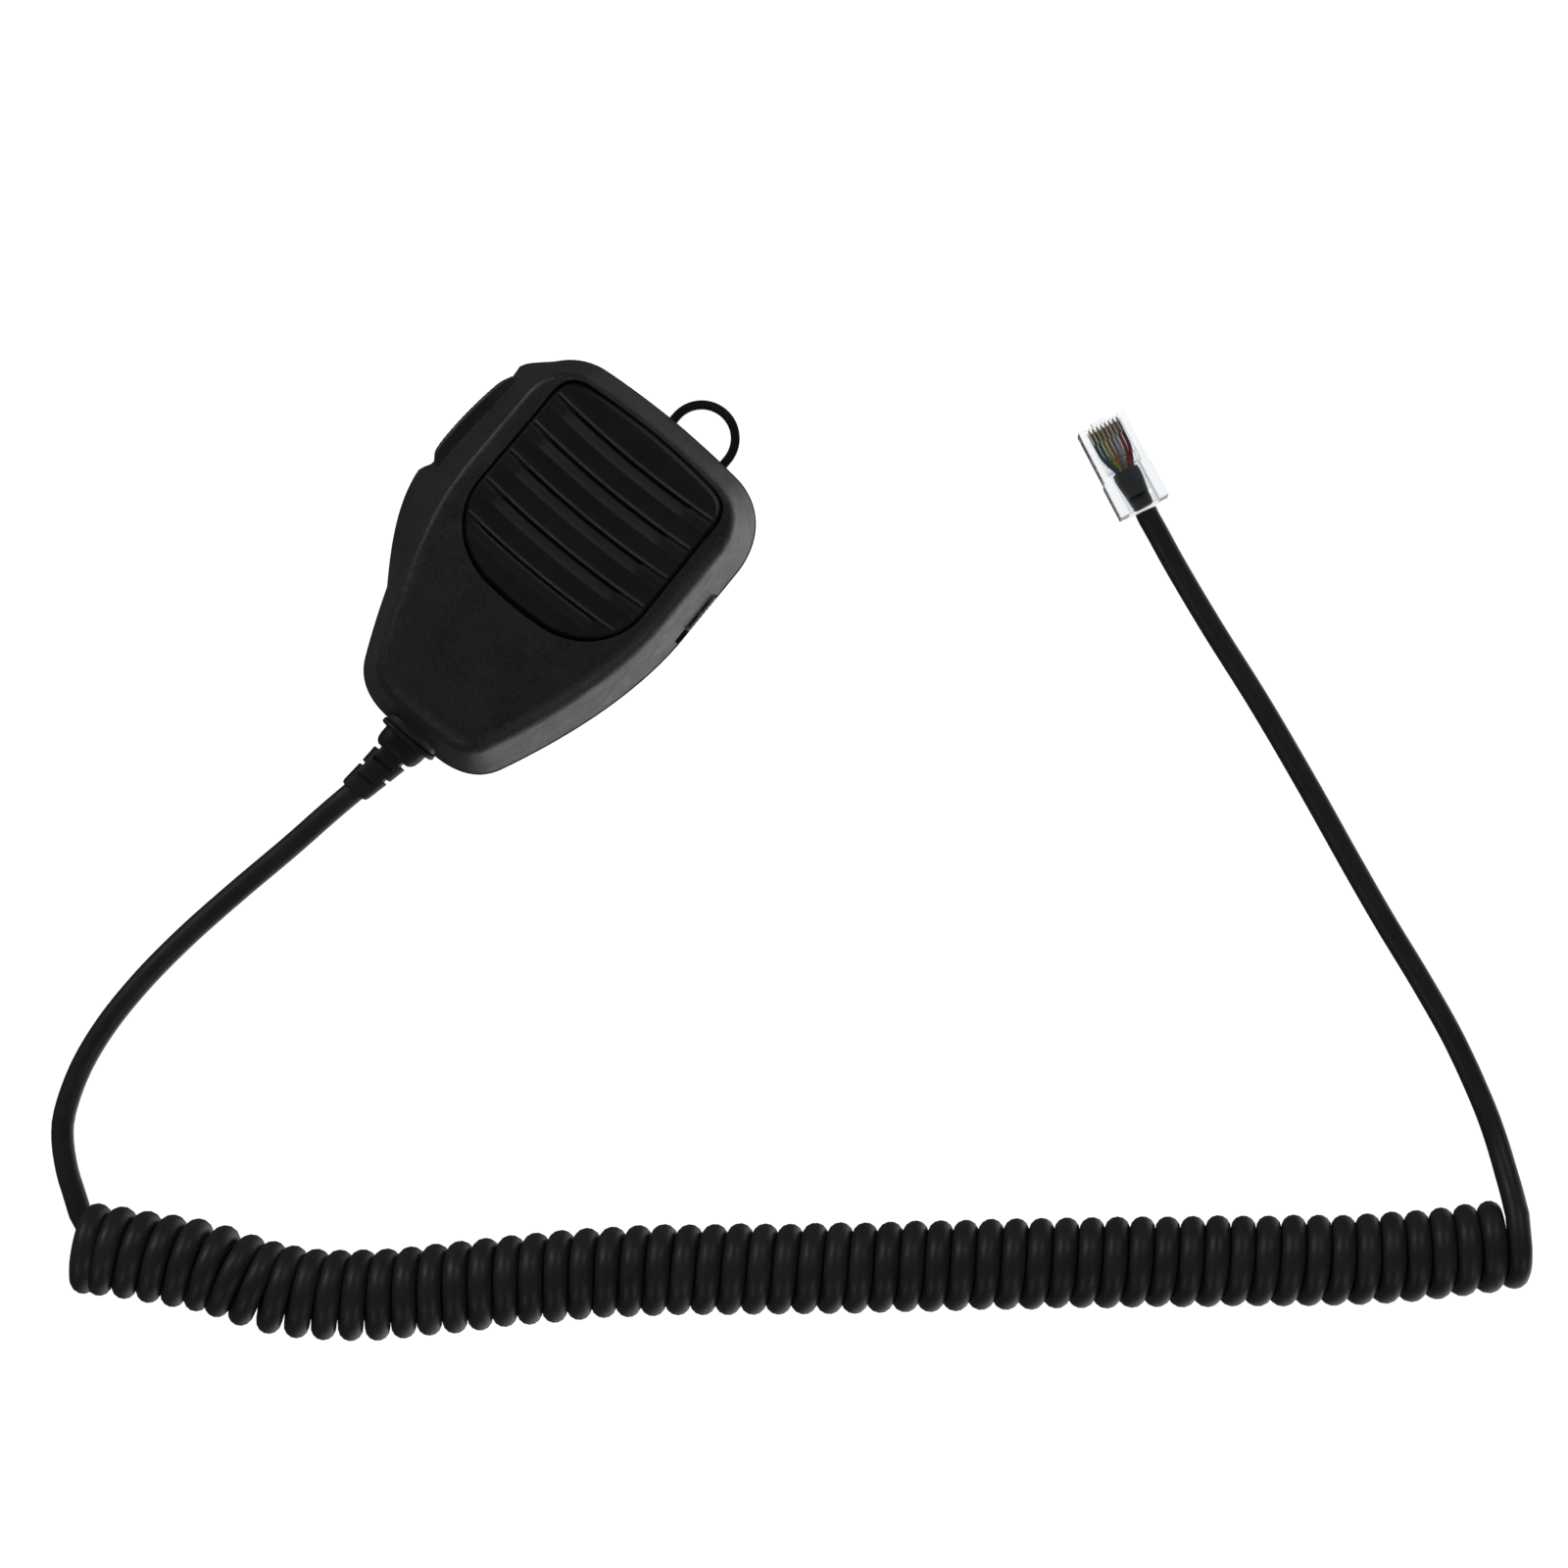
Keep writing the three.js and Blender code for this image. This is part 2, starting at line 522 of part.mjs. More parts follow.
// Four conductors from the end of the cord, round the lower case screw's post, to the connector.
const INNER_WIRES = [
  { startX: -2.4, cornerX: -4.9, sideX: -6.3, endX: -3.6, lift: 0.6 },
  { startX: -1.4, cornerX: -3.5, sideX: -4.9, endX: -1.3, lift: -0.6 },
  { startX: 0.2, cornerX: 3.3, sideX: 4.9, endX: 1.3, lift: -0.6 },
  { startX: 1.2, cornerX: 4.7, sideX: 6.3, endX: 3.6, lift: 0.6 },
];
function innerWire({ startX, cornerX, sideX, endX, lift }) {
  const z = RELIEF_Z + lift;
  return tube([[startX, -35.9, z], [cornerX, -34.5, z], [sideX, -31, z], [endX, -24.6, 10.8]], 0.4, 6, 8);
}

// ---------- Cord ----------
// The strain relief leans towards the cord's own line. y is the distance along the body.
const reliefLean = (y) => -0.6 - 2 * Math.max(0, (RELIEF_START_Y - y) / (RELIEF_START_Y - RELIEF_END_Y)) ** 1.4;

// Ribbed rubber strain relief: an inner flange, a neck in the wall, a collar outside and four ribs.
function strainRelief() {
  const boreRadius = CORD_RADIUS + 2 * GAP;
  const outside = [
    [5.6, RELIEF_INNER_Y], [5.6, -42.7], [4.5, -42.7], [4.5, -47.4], [7.3, -47.4], [7.3, -48.5], [5.8, -48.6],
    [5.5, -51.6], [4.5, -52.6], [3.7, -52.7], [3.7, -54], [4.5, -54.1], [4.1, -57.5], [3.6, -57.6], [3.6, -59],
    [4, -59.1], [3.7, RELIEF_END_Y],
  ];
  const profile = [
    at(boreRadius, RELIEF_END_Y),
    ...outside.reverse().map(([radius, y]) => at(radius, y)),
    at(boreRadius, RELIEF_INNER_Y),
    at(boreRadius, RELIEF_END_Y),
  ];
  const relief = new THREE.LatheGeometry(profile, 20).scale(1, 1, 0.92);
  const positions = relief.attributes.position;
  for (let i = 0; i < positions.count; i++) {
    positions.setX(i, positions.getX(i) + reliefLean(positions.getY(i)));
  }
  return relief.translate(0, 0, RELIEF_Z);
}

const cordInnerEnd = () =>
  tube(
    [-36.6, -42, -48, -54, -60, RELIEF_END_Y + 0.4].map((y) => [reliefLean(y), y, RELIEF_Z]),
    CORD_RADIUS - 0.2, 10, 10,
  );
const cordClamp = () =>
  joined(
    [box(-8.9, 7.9, -40.6, -36.8, 14.4, 16.4)],
    CLAMP_SCREWS.map(([x, y]) => post(x, y, 13, 18, 1.3)),
  );

// ---------- Plug, in its own frame: cable end at y = 0, nose at +Y, contacts upwards ----------
const wireX = (i) => (i - 3.5) * WIRE_PITCH;

function plugBody() {
  const { length, halfWidth, height } = PLUG;
  const bladeSlots = Array.from({ length: 8 }, (_, i) =>
    box(wireX(i) - 0.32, wireX(i) + 0.32, 17.6, length + 1, 4.9, height + 1),
  );
  return joined(
    [
      box(-halfWidth, halfWidth, 8.6, length, 0, height),
      box(-halfWidth - 0.3, halfWidth + 0.3, 0, 8.6, 0, height),
      box(-1.7, 1.7, length - 1, length + 1.6, -0.9, 0.9),
    ],
    [
      box(-3.9, 3.9, -1, 10.6, 0.9, 5.6),
      box(-4.4, 4.4, 10, 21, 3.4, 4.9),
      box(-3.2, 3.2, 2, 3.2, 5, height + 1),
      box(-3.6, 3.6, 11.6, 12.6, 4.5, height + 1),
      ...bladeSlots,
    ],
  );
}
// The latch springs down from the nose and is pressed up to release the plug.
function plugLatch() {
  const rest = [at(20.8, -0.3), at(20.8, -1), at(14, -1.9), at(9.6, -2.35), at(8, -2.35), at(8, -1.6), at(13.5, -1.15)];
  const tongue = new THREE.ExtrudeGeometry(new THREE.Shape(rest.reverse()), { depth: 6, bevelEnabled: false })
    .rotateX(Math.PI / 2)
    .rotateZ(Math.PI / 2)
    .translate(-3, 0, 0);
  return joined([tongue], [box(-4, -1.7, 7, 13.2, -4, 1), box(1.7, 4, 7, 13.2, -4, 1)]);
}
const plugContact = (i) => box(wireX(i) - 0.15, wireX(i) + 0.15, 18, 21.4, 5.15, PLUG.height - 0.2);
const plugWire = (i) =>
  tube(
    [[wireX(i) * 0.92, 10.3, 4], [wireX(i) * 0.97, 12, 4.1], [wireX(i), 14, 4.15], [wireX(i), 20.6, 4.15]],
    0.3, 6, 5,
  );
const plugJacket = () =>
  new THREE.CylinderGeometry(CORD_RADIUS - 0.4, CORD_RADIUS - 0.3, 9.5, 12)
    .scale(1.35, 1, 0.85)
    .translate(0, 5, 3.25);

// ---------- Assembly ----------
const microphone = new THREE.Group();
const plug = new THREE.Group();
plug.position.set(PLUG_PLACE.x, PLUG_PLACE.y, PLUG_PLACE.z);
plug.rotation.set(
  THREE.MathUtils.degToRad(PLUG_PLACE.tilt),
  0,
  THREE.MathUtils.degToRad(PLUG_PLACE.turn),
  "ZXY",
);
microphone.add(plug);

function addPiece(name, geometry, material, parent = microphone) {
  const mesh = new THREE.Mesh(geometry, material);
  mesh.name = name;
  parent.add(mesh);
}

addPiece("front_shell", frontShell(), housingBlack);
addPiece("rear_cover", rearCover(), housingBlack);
addPiece("grille_panel", grillePanel(), grilleBlack);
addPiece("grille_cloth", grilleCloth(), feltBlack);
CASE_SCREWS.forEach(([x, y], i) => addPiece(`case_screw_${i + 1}`, screw(x, y, 1, 16.5, 2.5, 1.8, 1.4), screwSteel));

addPiece("hanger_plate", hangerPlate(), hangerBlack);
HANGER_SCREWS.forEach(([x, y], i) => addPiece(`hanger_screw_${i + 1}`, screw(x, y, 0.25, 5.6, 2.2, 0.95, 1.1), screwSteel));

addPiece("ptt_key", pttKey(), keyBlack);
addPiece("ptt_pin", pttPin(), screwSteel);
addPiece("ptt_switch_body", pttSwitchBody(), partBlack);
addPiece("ptt_switch_plunger", pttPlunger(), connectorWhite);

addPiece("slide_knob", slideKnob(), sliderBlack);
addPiece("slide_switch_lever", slideLever(), connectorWhite);
addPiece("slide_switch_body", slideSwitchBody(), capsuleSteel);

addPiece("circuit_board", circuitBoard(), boardGreen);
BOARD_SCREWS.forEach(([x, y], i) => addPiece(`board_screw_${i + 1}`, screw(x, y, 10, 3.1, 2.2, 1.6, 1.1), screwSteel));
addPiece("mic_capsule", micCapsule(), capsuleSteel);
addPiece("capsule_boot", capsuleBoot(), rubberBlack);
addPiece("capsule_lead_red", capsuleLead(-1), wireFinishes[6]);
addPiece("capsule_lead_blue", capsuleLead(1), wireFinishes[0]);
addPiece("amplifier_chip", box(-5, 5, -5, 1, BOARD_TOP, 10.2), partBlack);
addPiece("capacitor_1", post(10, -4, BOARD_TOP, 14.4, 2.5, 16), partBlack);
addPiece("capacitor_2", post(-11, -6, BOARD_TOP, 13.4, 2, 16), partBlack);
addPiece("board_header", box(-6.5, 6.5, -18.7, -14.4, BOARD_TOP, 12.8), connectorWhite);
addPiece("lead_connector", box(-5.6, 5.6, -24.2, -19, 8.6, 12.4), connectorWhite);
INNER_WIRES.forEach((wire, i) => addPiece(`inner_wire_${i + 1}`, innerWire(wire), wireFinishes[[6, 5, 2, 1][i]]));

addPiece("cord_clamp", cordClamp(), capsuleSteel);
CLAMP_SCREWS.forEach(([x, y], i) => addPiece(`clamp_screw_${i + 1}`, screw(x, y, 18.2, 8, 2, 1.5, 1), screwSteel));
addPiece("cord_inner_end", cordInnerEnd(), cordBlack);
addPiece("strain_relief", strainRelief(), reliefBlack);
addPiece("cord_lead_mic", tube(LEAD_FROM_MICROPHONE, CORD_RADIUS, 10, 18), cordBlack);
addPiece("cord_curl", tube(CURL.map(([x, y]) => [x, y, CURL_RADIUS + 0.1]), CURL_RADIUS, 12, 24), cordBlack);
const [plugEndX, plugEndY] = [PLUG_PLACE.x + 0.3, PLUG_PLACE.y - 0.15];
addPiece("cord_lead_plug", tube([...LEAD_TO_PLUG, [plugEndX, plugEndY, 6.55]], CORD_RADIUS, 10, 24), cordBlack);

addPiece("plug_body", plugBody(), clearPlastic, plug);
addPiece("plug_latch", plugLatch(), clearPlastic, plug);
addPiece("plug_jacket", plugJacket(), cordBlack, plug);
for (let i = 0; i < 8; i++) {
  addPiece(`plug_contact_${i + 1}`, plugContact(i), brass, plug);
  addPiece(`plug_wire_${i + 1}`, plugWire(i), wireFinishes[i], plug);
}

export default microphone;
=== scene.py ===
"""The looks of a hand microphone with a curly cord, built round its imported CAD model.

Everything is in metres in the CAD frame: +Z out of the front face, +Y to the hanger loop and +X to
the slide switch. mm() turns the millimetres that the sizes are written in into metres.
"""
import math

import bmesh
import bpy
from mathutils import Matrix, Vector


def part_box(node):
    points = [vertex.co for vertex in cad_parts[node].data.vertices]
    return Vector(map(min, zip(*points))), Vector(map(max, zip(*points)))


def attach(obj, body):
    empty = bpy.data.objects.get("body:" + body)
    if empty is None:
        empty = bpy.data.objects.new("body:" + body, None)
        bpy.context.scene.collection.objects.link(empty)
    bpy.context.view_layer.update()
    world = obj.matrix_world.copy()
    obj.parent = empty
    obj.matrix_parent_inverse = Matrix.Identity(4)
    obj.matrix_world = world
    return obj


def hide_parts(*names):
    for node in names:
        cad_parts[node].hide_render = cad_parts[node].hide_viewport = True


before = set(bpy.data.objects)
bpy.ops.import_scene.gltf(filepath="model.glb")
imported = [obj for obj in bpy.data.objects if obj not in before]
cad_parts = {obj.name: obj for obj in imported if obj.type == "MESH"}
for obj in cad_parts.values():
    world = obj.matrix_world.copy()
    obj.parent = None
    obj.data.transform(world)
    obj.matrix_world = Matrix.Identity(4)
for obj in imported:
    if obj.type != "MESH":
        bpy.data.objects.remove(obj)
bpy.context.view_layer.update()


def mm(*values):
    """Millimetres as metres: a number for one value, a tuple for several."""
    scaled = tuple(value * 0.001 for value in values)
    return scaled[0] if len(scaled) == 1 else scaled


# ---------- Sizes that follow the CAD model ----------
PARTING_Z = mm(11)
RING_SAMPLES = 200  # points round the housing's and the panel's outlines
SHARP_EDGE = math.radians(35)

PANEL_LOW = mm(27)
RIDGE_TOP_Y = mm(33.7)
RIDGE_PITCH = mm(8.25)
RIDGE_COUNT = 5

KEY_Y = mm(4.95, 31.2)
KEY_Z = mm(4.6, 15.4)
KEY_PIVOT = mm(-29.6, 28.5)
KEY_END_X = mm(-36.2)
# The key's lower end slants, as it has to move along its path round the pin.
KEY_END_SLANT = (KEY_PIVOT[0] - KEY_END_X) / (KEY_PIVOT[1] - KEY_Y[0])
KNOB_Y = mm(12, 22.1)
KNOB_Z = mm(10.2, 13.8)
KNOB_TRAVEL = mm(3.4)
OPENING_MARGIN = mm(0.3)  # round the key, the knob and the hanger

CASE_SCREWS = [mm(-25, 34), mm(25, 34), mm(0, -31)]
HANGER_SCREWS = [mm(1.5, 29.5), mm(11.5, 29.5)]
HANGER_LOW = mm(-3.3, 25)
HANGER_HIGH = mm(16.3, 40)
LOOP_CENTRE = mm(6.5, 48.7)
LOOP_RADIUS = mm(8.8)
LOOP_BAND = mm(2.1)
HANGER_Z = mm(0.2, 1.7)

RELIEF_Z = mm(11.2)
RELIEF_FLATNESS = 0.92
RELIEF_TOP_X = mm(-0.6)
RELIEF_TOP_Y = mm(-47.4)
RELIEF_END_Y = mm(-64.9)
RELIEF_BORE = mm(2.75)

CORD_RADIUS = mm(2.6)
CURL_TURNS = 57.5
CURL_POINTS_PER_TURN = 36
CURL_MIDDLE_RADIUS = mm(7.5)
CURL_SWELL = 1.12  # winding squeezes the cord a little wider
CURL_TUCK = mm(4)  # how far the first strand is tucked under the first turn
CURL_AXIS_Z = mm(10.54)

PLUG_PLACE = mm(95.9, 100.8, 3.4)
PLUG_TURN = math.radians(66.5)
PLUG_TILT = math.radians(-5.7)
WIRE_PITCH = mm(1.02)

# ---------- Routes of the cord's centre line ----------
LEAD_FROM_MICROPHONE = [
    mm(-2.5, -64.4, 11.1), mm(-3.5, -69.5, 10.3), mm(-4.4, -74.4, 9.3), mm(-6.2, -84.7, 7.1),
    mm(-9.3, -100.6, 4.3), mm(-11.8, -115.9, 2.9), mm(-13.1, -130.2, 2.7), mm(-13, -143.4, 2.7),
    mm(-11.2, -155.1, 2.7), mm(-7.5, -165.3, 2.7), mm(-3.6, -170.8, 2.7), mm(1.6, -175.4, 2.7),
    mm(4.9, -177.6, 2.7), mm(10.1, -181, 2.7),
]
CURL_AXIS = [
    mm(14.2, -186.2), mm(28.7, -177.2), mm(43.6, -168.9), mm(54.3, -165.2), mm(68.2, -156.2),
    mm(80.9, -144.6), mm(97.6, -127.3), mm(117.3, -108.2), mm(151.5, -79.2), mm(187.2, -48.2),
    mm(220.9, -19.6), mm(244, 0), mm(260, 15.8), mm(267.9, 24.7),
]
LEAD_TO_PLUG = [
    mm(263.6, 29.9, 15), mm(260.4, 33, 11.5), mm(257.1, 35.8, 8.8), mm(250.4, 41, 5), mm(242.4, 45.9, 3.1),
    mm(229, 52.4, 2.7), mm(214.4, 58, 2.7), mm(199.4, 63.2, 2.7), mm(184.7, 68.7, 2.7),
    mm(165.3, 76.2, 2.7), mm(145.6, 83.4, 2.7), mm(125.3, 90.1, 2.8), mm(110.2, 95.3, 4.4),
    mm(101.6, 98.5, 6), mm(97.8, 99.9, 6.4), mm(96.2, 100.65, 6.55),
]


# ---------- Camera, light and floor ----------
VIEW_CENTRE = mm(72.2, -0.85)
CAMERA_HEIGHT = 0.850
CAMERA_TURN = math.radians(39.6)
CAMERA_LENS = 84.16
CAMERA_SENSOR = 36
ROOM_LIGHT = 0.06  # strength of the light from every side
TABLE_LIGHT = 2  # strength of the light off the table at its brightest
TABLE_TURN = 0.3  # how far the table's bright side is turned from +X towards +Y
TABLE_FALL = (-1.2, -0.1)  # gain and start of the light as a direction sinks below the horizon
TABLE_SIDE = (1.4, -0.05)  # gain and start of the light as a direction turns to the bright side


def make_camera():
    data = bpy.data.cameras.new("camera")
    data.lens = CAMERA_LENS
    data.sensor_width = CAMERA_SENSOR
    camera = bpy.data.objects.new("camera", data)
    camera.location = (*VIEW_CENTRE, CAMERA_HEIGHT)
    camera.rotation_euler = (0, 0, CAMERA_TURN)
    bpy.context.collection.objects.link(camera)
    bpy.context.scene.camera = camera


def soft_light(name, place, size, watts, colour=(1, 1, 1)):
    """A square lamp at place, facing the middle of the view."""
    data = bpy.data.lights.new(name, "AREA")
    data.size = size
    data.energy = watts
    data.color = colour
    lamp = bpy.data.objects.new(name, data)
    lamp.location = place
    aim = Vector((*VIEW_CENTRE, 0)) - Vector(place)
    lamp.rotation_euler = aim.to_track_quat("-Z", "Y").to_euler()
    bpy.context.collection.objects.link(lamp)


def math_node(tree, operation, *values, clamp=False):
    """A Math node's output. Each value is a number or an output."""
    step = tree.nodes.new("ShaderNodeMath")
    step.operation = operation
    step.use_clamp = clamp
    for socket, value in zip(step.inputs, values):
        if isinstance(value, bpy.types.NodeSocket):
            tree.links.new(value, socket)
        else:
            socket.default_value = value
    return step.outputs[0]


def make_world():
    """A dim studio, with light off a white table that is brightest to the right."""
    world = bpy.data.worlds.new("studio")
    world.use_nodes = True
    tree = world.node_tree
    place = tree.nodes.new("ShaderNodeTexCoord")
    split = tree.nodes.new("ShaderNodeSeparateXYZ")
    tree.links.new(place.outputs["Generated"], split.inputs[0])
    across = math_node(tree, "MULTIPLY_ADD", split.outputs["Y"], TABLE_TURN, split.outputs["X"])
    below = math_node(tree, "MULTIPLY_ADD", split.outputs["Z"], *TABLE_FALL, clamp=True)
    rightwards = math_node(tree, "MULTIPLY_ADD", across, *TABLE_SIDE, clamp=True)
    table = math_node(tree, "MULTIPLY", below, rightwards)
    strength = math_node(tree, "MULTIPLY_ADD", table, TABLE_LIGHT, ROOM_LIGHT)
    background = tree.nodes["Background"]
    background.inputs["Color"].default_value = (1, 1, 1, 1)
    tree.links.new(strength, background.inputs["Strength"])
    bpy.context.scene.world = world


def make_light():
    make_world()
    bpy.context.scene.view_settings.view_transform = "Standard"
    soft_light("head", (-0.15, 1.15, 1), 0.4, 2)
    soft_light("left", (-1.3, 0.1, 0.55), 0.35, 3.5)
    soft_light("right", (1.3, -0.3, 0.75), 0.5, 1.6, (0.92, 0.94, 1))
    soft_light("foot", (0.1, -1.3, 0.7), 0.4, 1)


def make_floor():
    """White paper, glowing a little, that takes no part in the light on the object."""
    reach = 6
    corners = [(-reach, -reach, 0), (reach, -reach, 0), (reach, reach, 0), (-reach, reach, 0)]
    mesh = bpy.data.meshes.new("floor")
    mesh.from_pydata(corners, [], [(0, 1, 2, 3)])
    floor = bpy.data.objects.new("floor", mesh)
    bpy.context.collection.objects.link(floor)
    paper = bpy.data.materials.new("paper")
    paper.use_nodes = True
    shader = paper.node_tree.nodes["Principled BSDF"]
    shader.inputs["Base Color"].default_value = (0.9, 0.9, 0.9, 1)
    shader.inputs["Roughness"].default_value = 0.9
    shader.inputs["Emission Color"].default_value = (1, 1, 1, 1)
    shader.inputs["Emission Strength"].default_value = 0.95
    mesh.materials.append(paper)
    floor.visible_diffuse = False
    floor.visible_glossy = False
    floor.visible_shadow = False


# ---------- Materials ----------
def new_material(name, colour, roughness, **values):
    """A Principled material, its tree and its shader. The other values are sockets, with _ for a space."""
    material = bpy.data.materials.new(name)
    material.use_nodes = True
    material.diffuse_color = (*colour, 1)
    tree = material.node_tree
    shader = tree.nodes["Principled BSDF"]
    shader.inputs["Base Color"].default_value = (*colour, 1)
    shader.inputs["Roughness"].default_value = roughness
    for socket, value in values.items():
        shader.inputs[socket.replace("_", " ")].default_value = value
    return material, tree, shader


def noise(tree, size, detail=2, roughness=0.5):
    """Noise with features of about that size, fixed to the object."""
    place = tree.nodes.new("ShaderNodeTexCoord")
    texture = tree.nodes.new("ShaderNodeTexNoise")
    texture.inputs["Scale"].default_value = 1 / size
    texture.inputs["Detail"].default_value = detail
    texture.inputs["Roughness"].default_value = roughness
    tree.links.new(place.outputs["Object"], texture.inputs["Vector"])
    return texture.outputs["Fac"]


def spread(tree, source, low, high, low_in=0.3, high_in=0.7):
    """Maps a source that runs from low_in to high_in onto low to high."""
    remap = tree.nodes.new("ShaderNodeMapRange")
    remap.inputs["From Min"].default_value = low_in
    remap.inputs["From Max"].default_value = high_in
    remap.inputs["To Min"].default_value = low
    remap.inputs["To Max"].default_value = high
    tree.links.new(source, remap.inputs["Value"])
    return remap.outputs["Result"]


def mixed(tree, share, first, second):
    """A colour between first and second, each a colour or an output, by share."""
    mix = tree.nodes.new("ShaderNodeMix")
    mix.data_type = "RGBA"
    tree.links.new(share, mix.inputs["Factor"])
    # Several of the node's sockets share a name: inputs 6 and 7 and output 2 are the colours.
    for socket, value in ((mix.inputs[6], first), (mix.inputs[7], second)):
        if isinstance(value, bpy.types.NodeSocket):
            tree.links.new(value, socket)
        else:
            socket.default_value = (*value, 1)
    return mix.outputs[2]


def bumped(tree, shader, layers):
    """Chains bumps, each (height output, depth in metres), into the shader's normal."""
    normal = None
    for height, depth in layers:
        bump = tree.nodes.new("ShaderNodeBump")
        bump.inputs["Strength"].default_value = 1
        bump.inputs["Distance"].default_value = depth
        tree.links.new(height, bump.inputs["Height"])
        if normal:
            tree.links.new(normal, bump.inputs["Normal"])
        normal = bump.outputs["Normal"]
    tree.links.new(normal, shader.inputs["Normal"])


def worn_edges(tree):
    """1 on convex edges, where hands polish the plastic, and 0 elsewhere."""
    flat = 0.5
    sharp = 0.06
    geometry = tree.nodes.new("ShaderNodeNewGeometry")
    return spread(tree, geometry.outputs["Pointiness"], 0, 1, flat + sharp / 3, flat + sharp)


def moulded(name, colour, roughness, grain=mm(0.5), depth=mm(0.03), wear=0.5, painted_glint=0.3, shine=0.5):
    """Moulded plastic or rubber: a spark-eroded grain with painted glints, cloudy colour, smudges and
    polished edges.

    wear is how far edges are polished, painted_glint how far the colour follows the grain as painted
    glints (specks standing in for light the grain catches), and shine the strength of the highlights.
    """
    material, tree, shader = new_material(name, colour, roughness, Specular_IOR_Level=shine)
    # darker and lighter span the cloudy tone and the painted glints, which widen them.
    darker = tuple(c * (0.85 - 0.5 * painted_glint) for c in colour)
    lighter = tuple(min(1, c * (1.15 + 1.2 * painted_glint)) for c in colour)
    polished = tuple(min(1, c * 1.5 + 0.012) for c in colour)
    clouds = spread(tree, noise(tree, mm(9), 4), 0, 1)
    grain_bumps_and_glints = noise(tree, grain, 3, 0.6)
    cloudy = math_node(tree, "MULTIPLY", clouds, 1 - painted_glint)
    # The grain's part of this share paints glints into the colour: specks that stand in for light caught by
    # the grain.
    share = math_node(tree, "MULTIPLY_ADD", spread(tree, grain_bumps_and_glints, 0, 1, 0.35, 0.65), painted_glint, cloudy)
    worn = math_node(tree, "MULTIPLY", worn_edges(tree), wear)
    plain = mixed(tree, share, darker, lighter)
    tree.links.new(mixed(tree, worn, plain, polished), shader.inputs["Base Color"])
    smudges = spread(tree, noise(tree, mm(5), 3, 0.6), roughness * 0.88, min(1, roughness * 1.12))
    tree.links.new(smudges, shader.inputs["Roughness"])
    bumped(tree, shader, [(noise(tree, grain * 4, 1), depth * 1.5), (grain_bumps_and_glints, depth)])
    return material


def metal(name, colour, roughness):
    """Bare or plated metal with stains and fine scratches."""
    material, tree, shader = new_material(name, colour, roughness, Metallic=1.0)
    darker = tuple(c * 0.82 for c in colour)
    stains = spread(tree, noise(tree, mm(2.5), 4), 0, 1)
    tree.links.new(mixed(tree, stains, darker, colour), shader.inputs["Base Color"])
    scratches = noise(tree, mm(0.25), 4, 0.7)
    rough = spread(tree, scratches, roughness * 0.75, min(1, roughness * 1.35))
    tree.links.new(rough, shader.inputs["Roughness"])
    bumped(tree, shader, [(scratches, mm(0.003))])
    return material


def clear_plastic():
    """Polycarbonate with faint flow ripples."""
    material, tree, shader = new_material(
        "clear_plastic", (0.88, 0.9, 0.91), 0.06, IOR=1.45, Transmission_Weight=0.97
    )
    haze = spread(tree, noise(tree, mm(3), 3), 0.03, 0.14)
    tree.links.new(haze, shader.inputs["Roughness"])
    bumped(tree, shader, [(noise(tree, mm(2.2), 2), mm(0.02))])
    return material


def felt():
    """Dark acoustic cloth with a rough, fibrous face."""
    material, tree, shader = new_material("felt", (0.006, 0.006, 0.006), 0.95, Sheen_Weight=0.2)
    fibres = noise(tree, mm(0.35), 4, 0.7)
    tree.links.new(
        mixed(tree, spread(tree, fibres, 0, 1), (0.003, 0.003, 0.003), (0.012, 0.012, 0.012)),
        shader.inputs["Base Color"],
    )
    bumped(tree, shader, [(fibres, mm(0.08))])
    return material


WIRE_COLOURS = {
    "blue": (0.015, 0.07, 0.16),
    "green": (0.03, 0.2, 0.07),
    "yellow": (0.62, 0.5, 0.06),
    "tan": (0.5, 0.22, 0.06),
    "grey": (0.3, 0.3, 0.32),
    "white": (0.75, 0.75, 0.73),
    "red": (0.45, 0.03, 0.02),
    "maroon": (0.16, 0.02, 0.015),
}


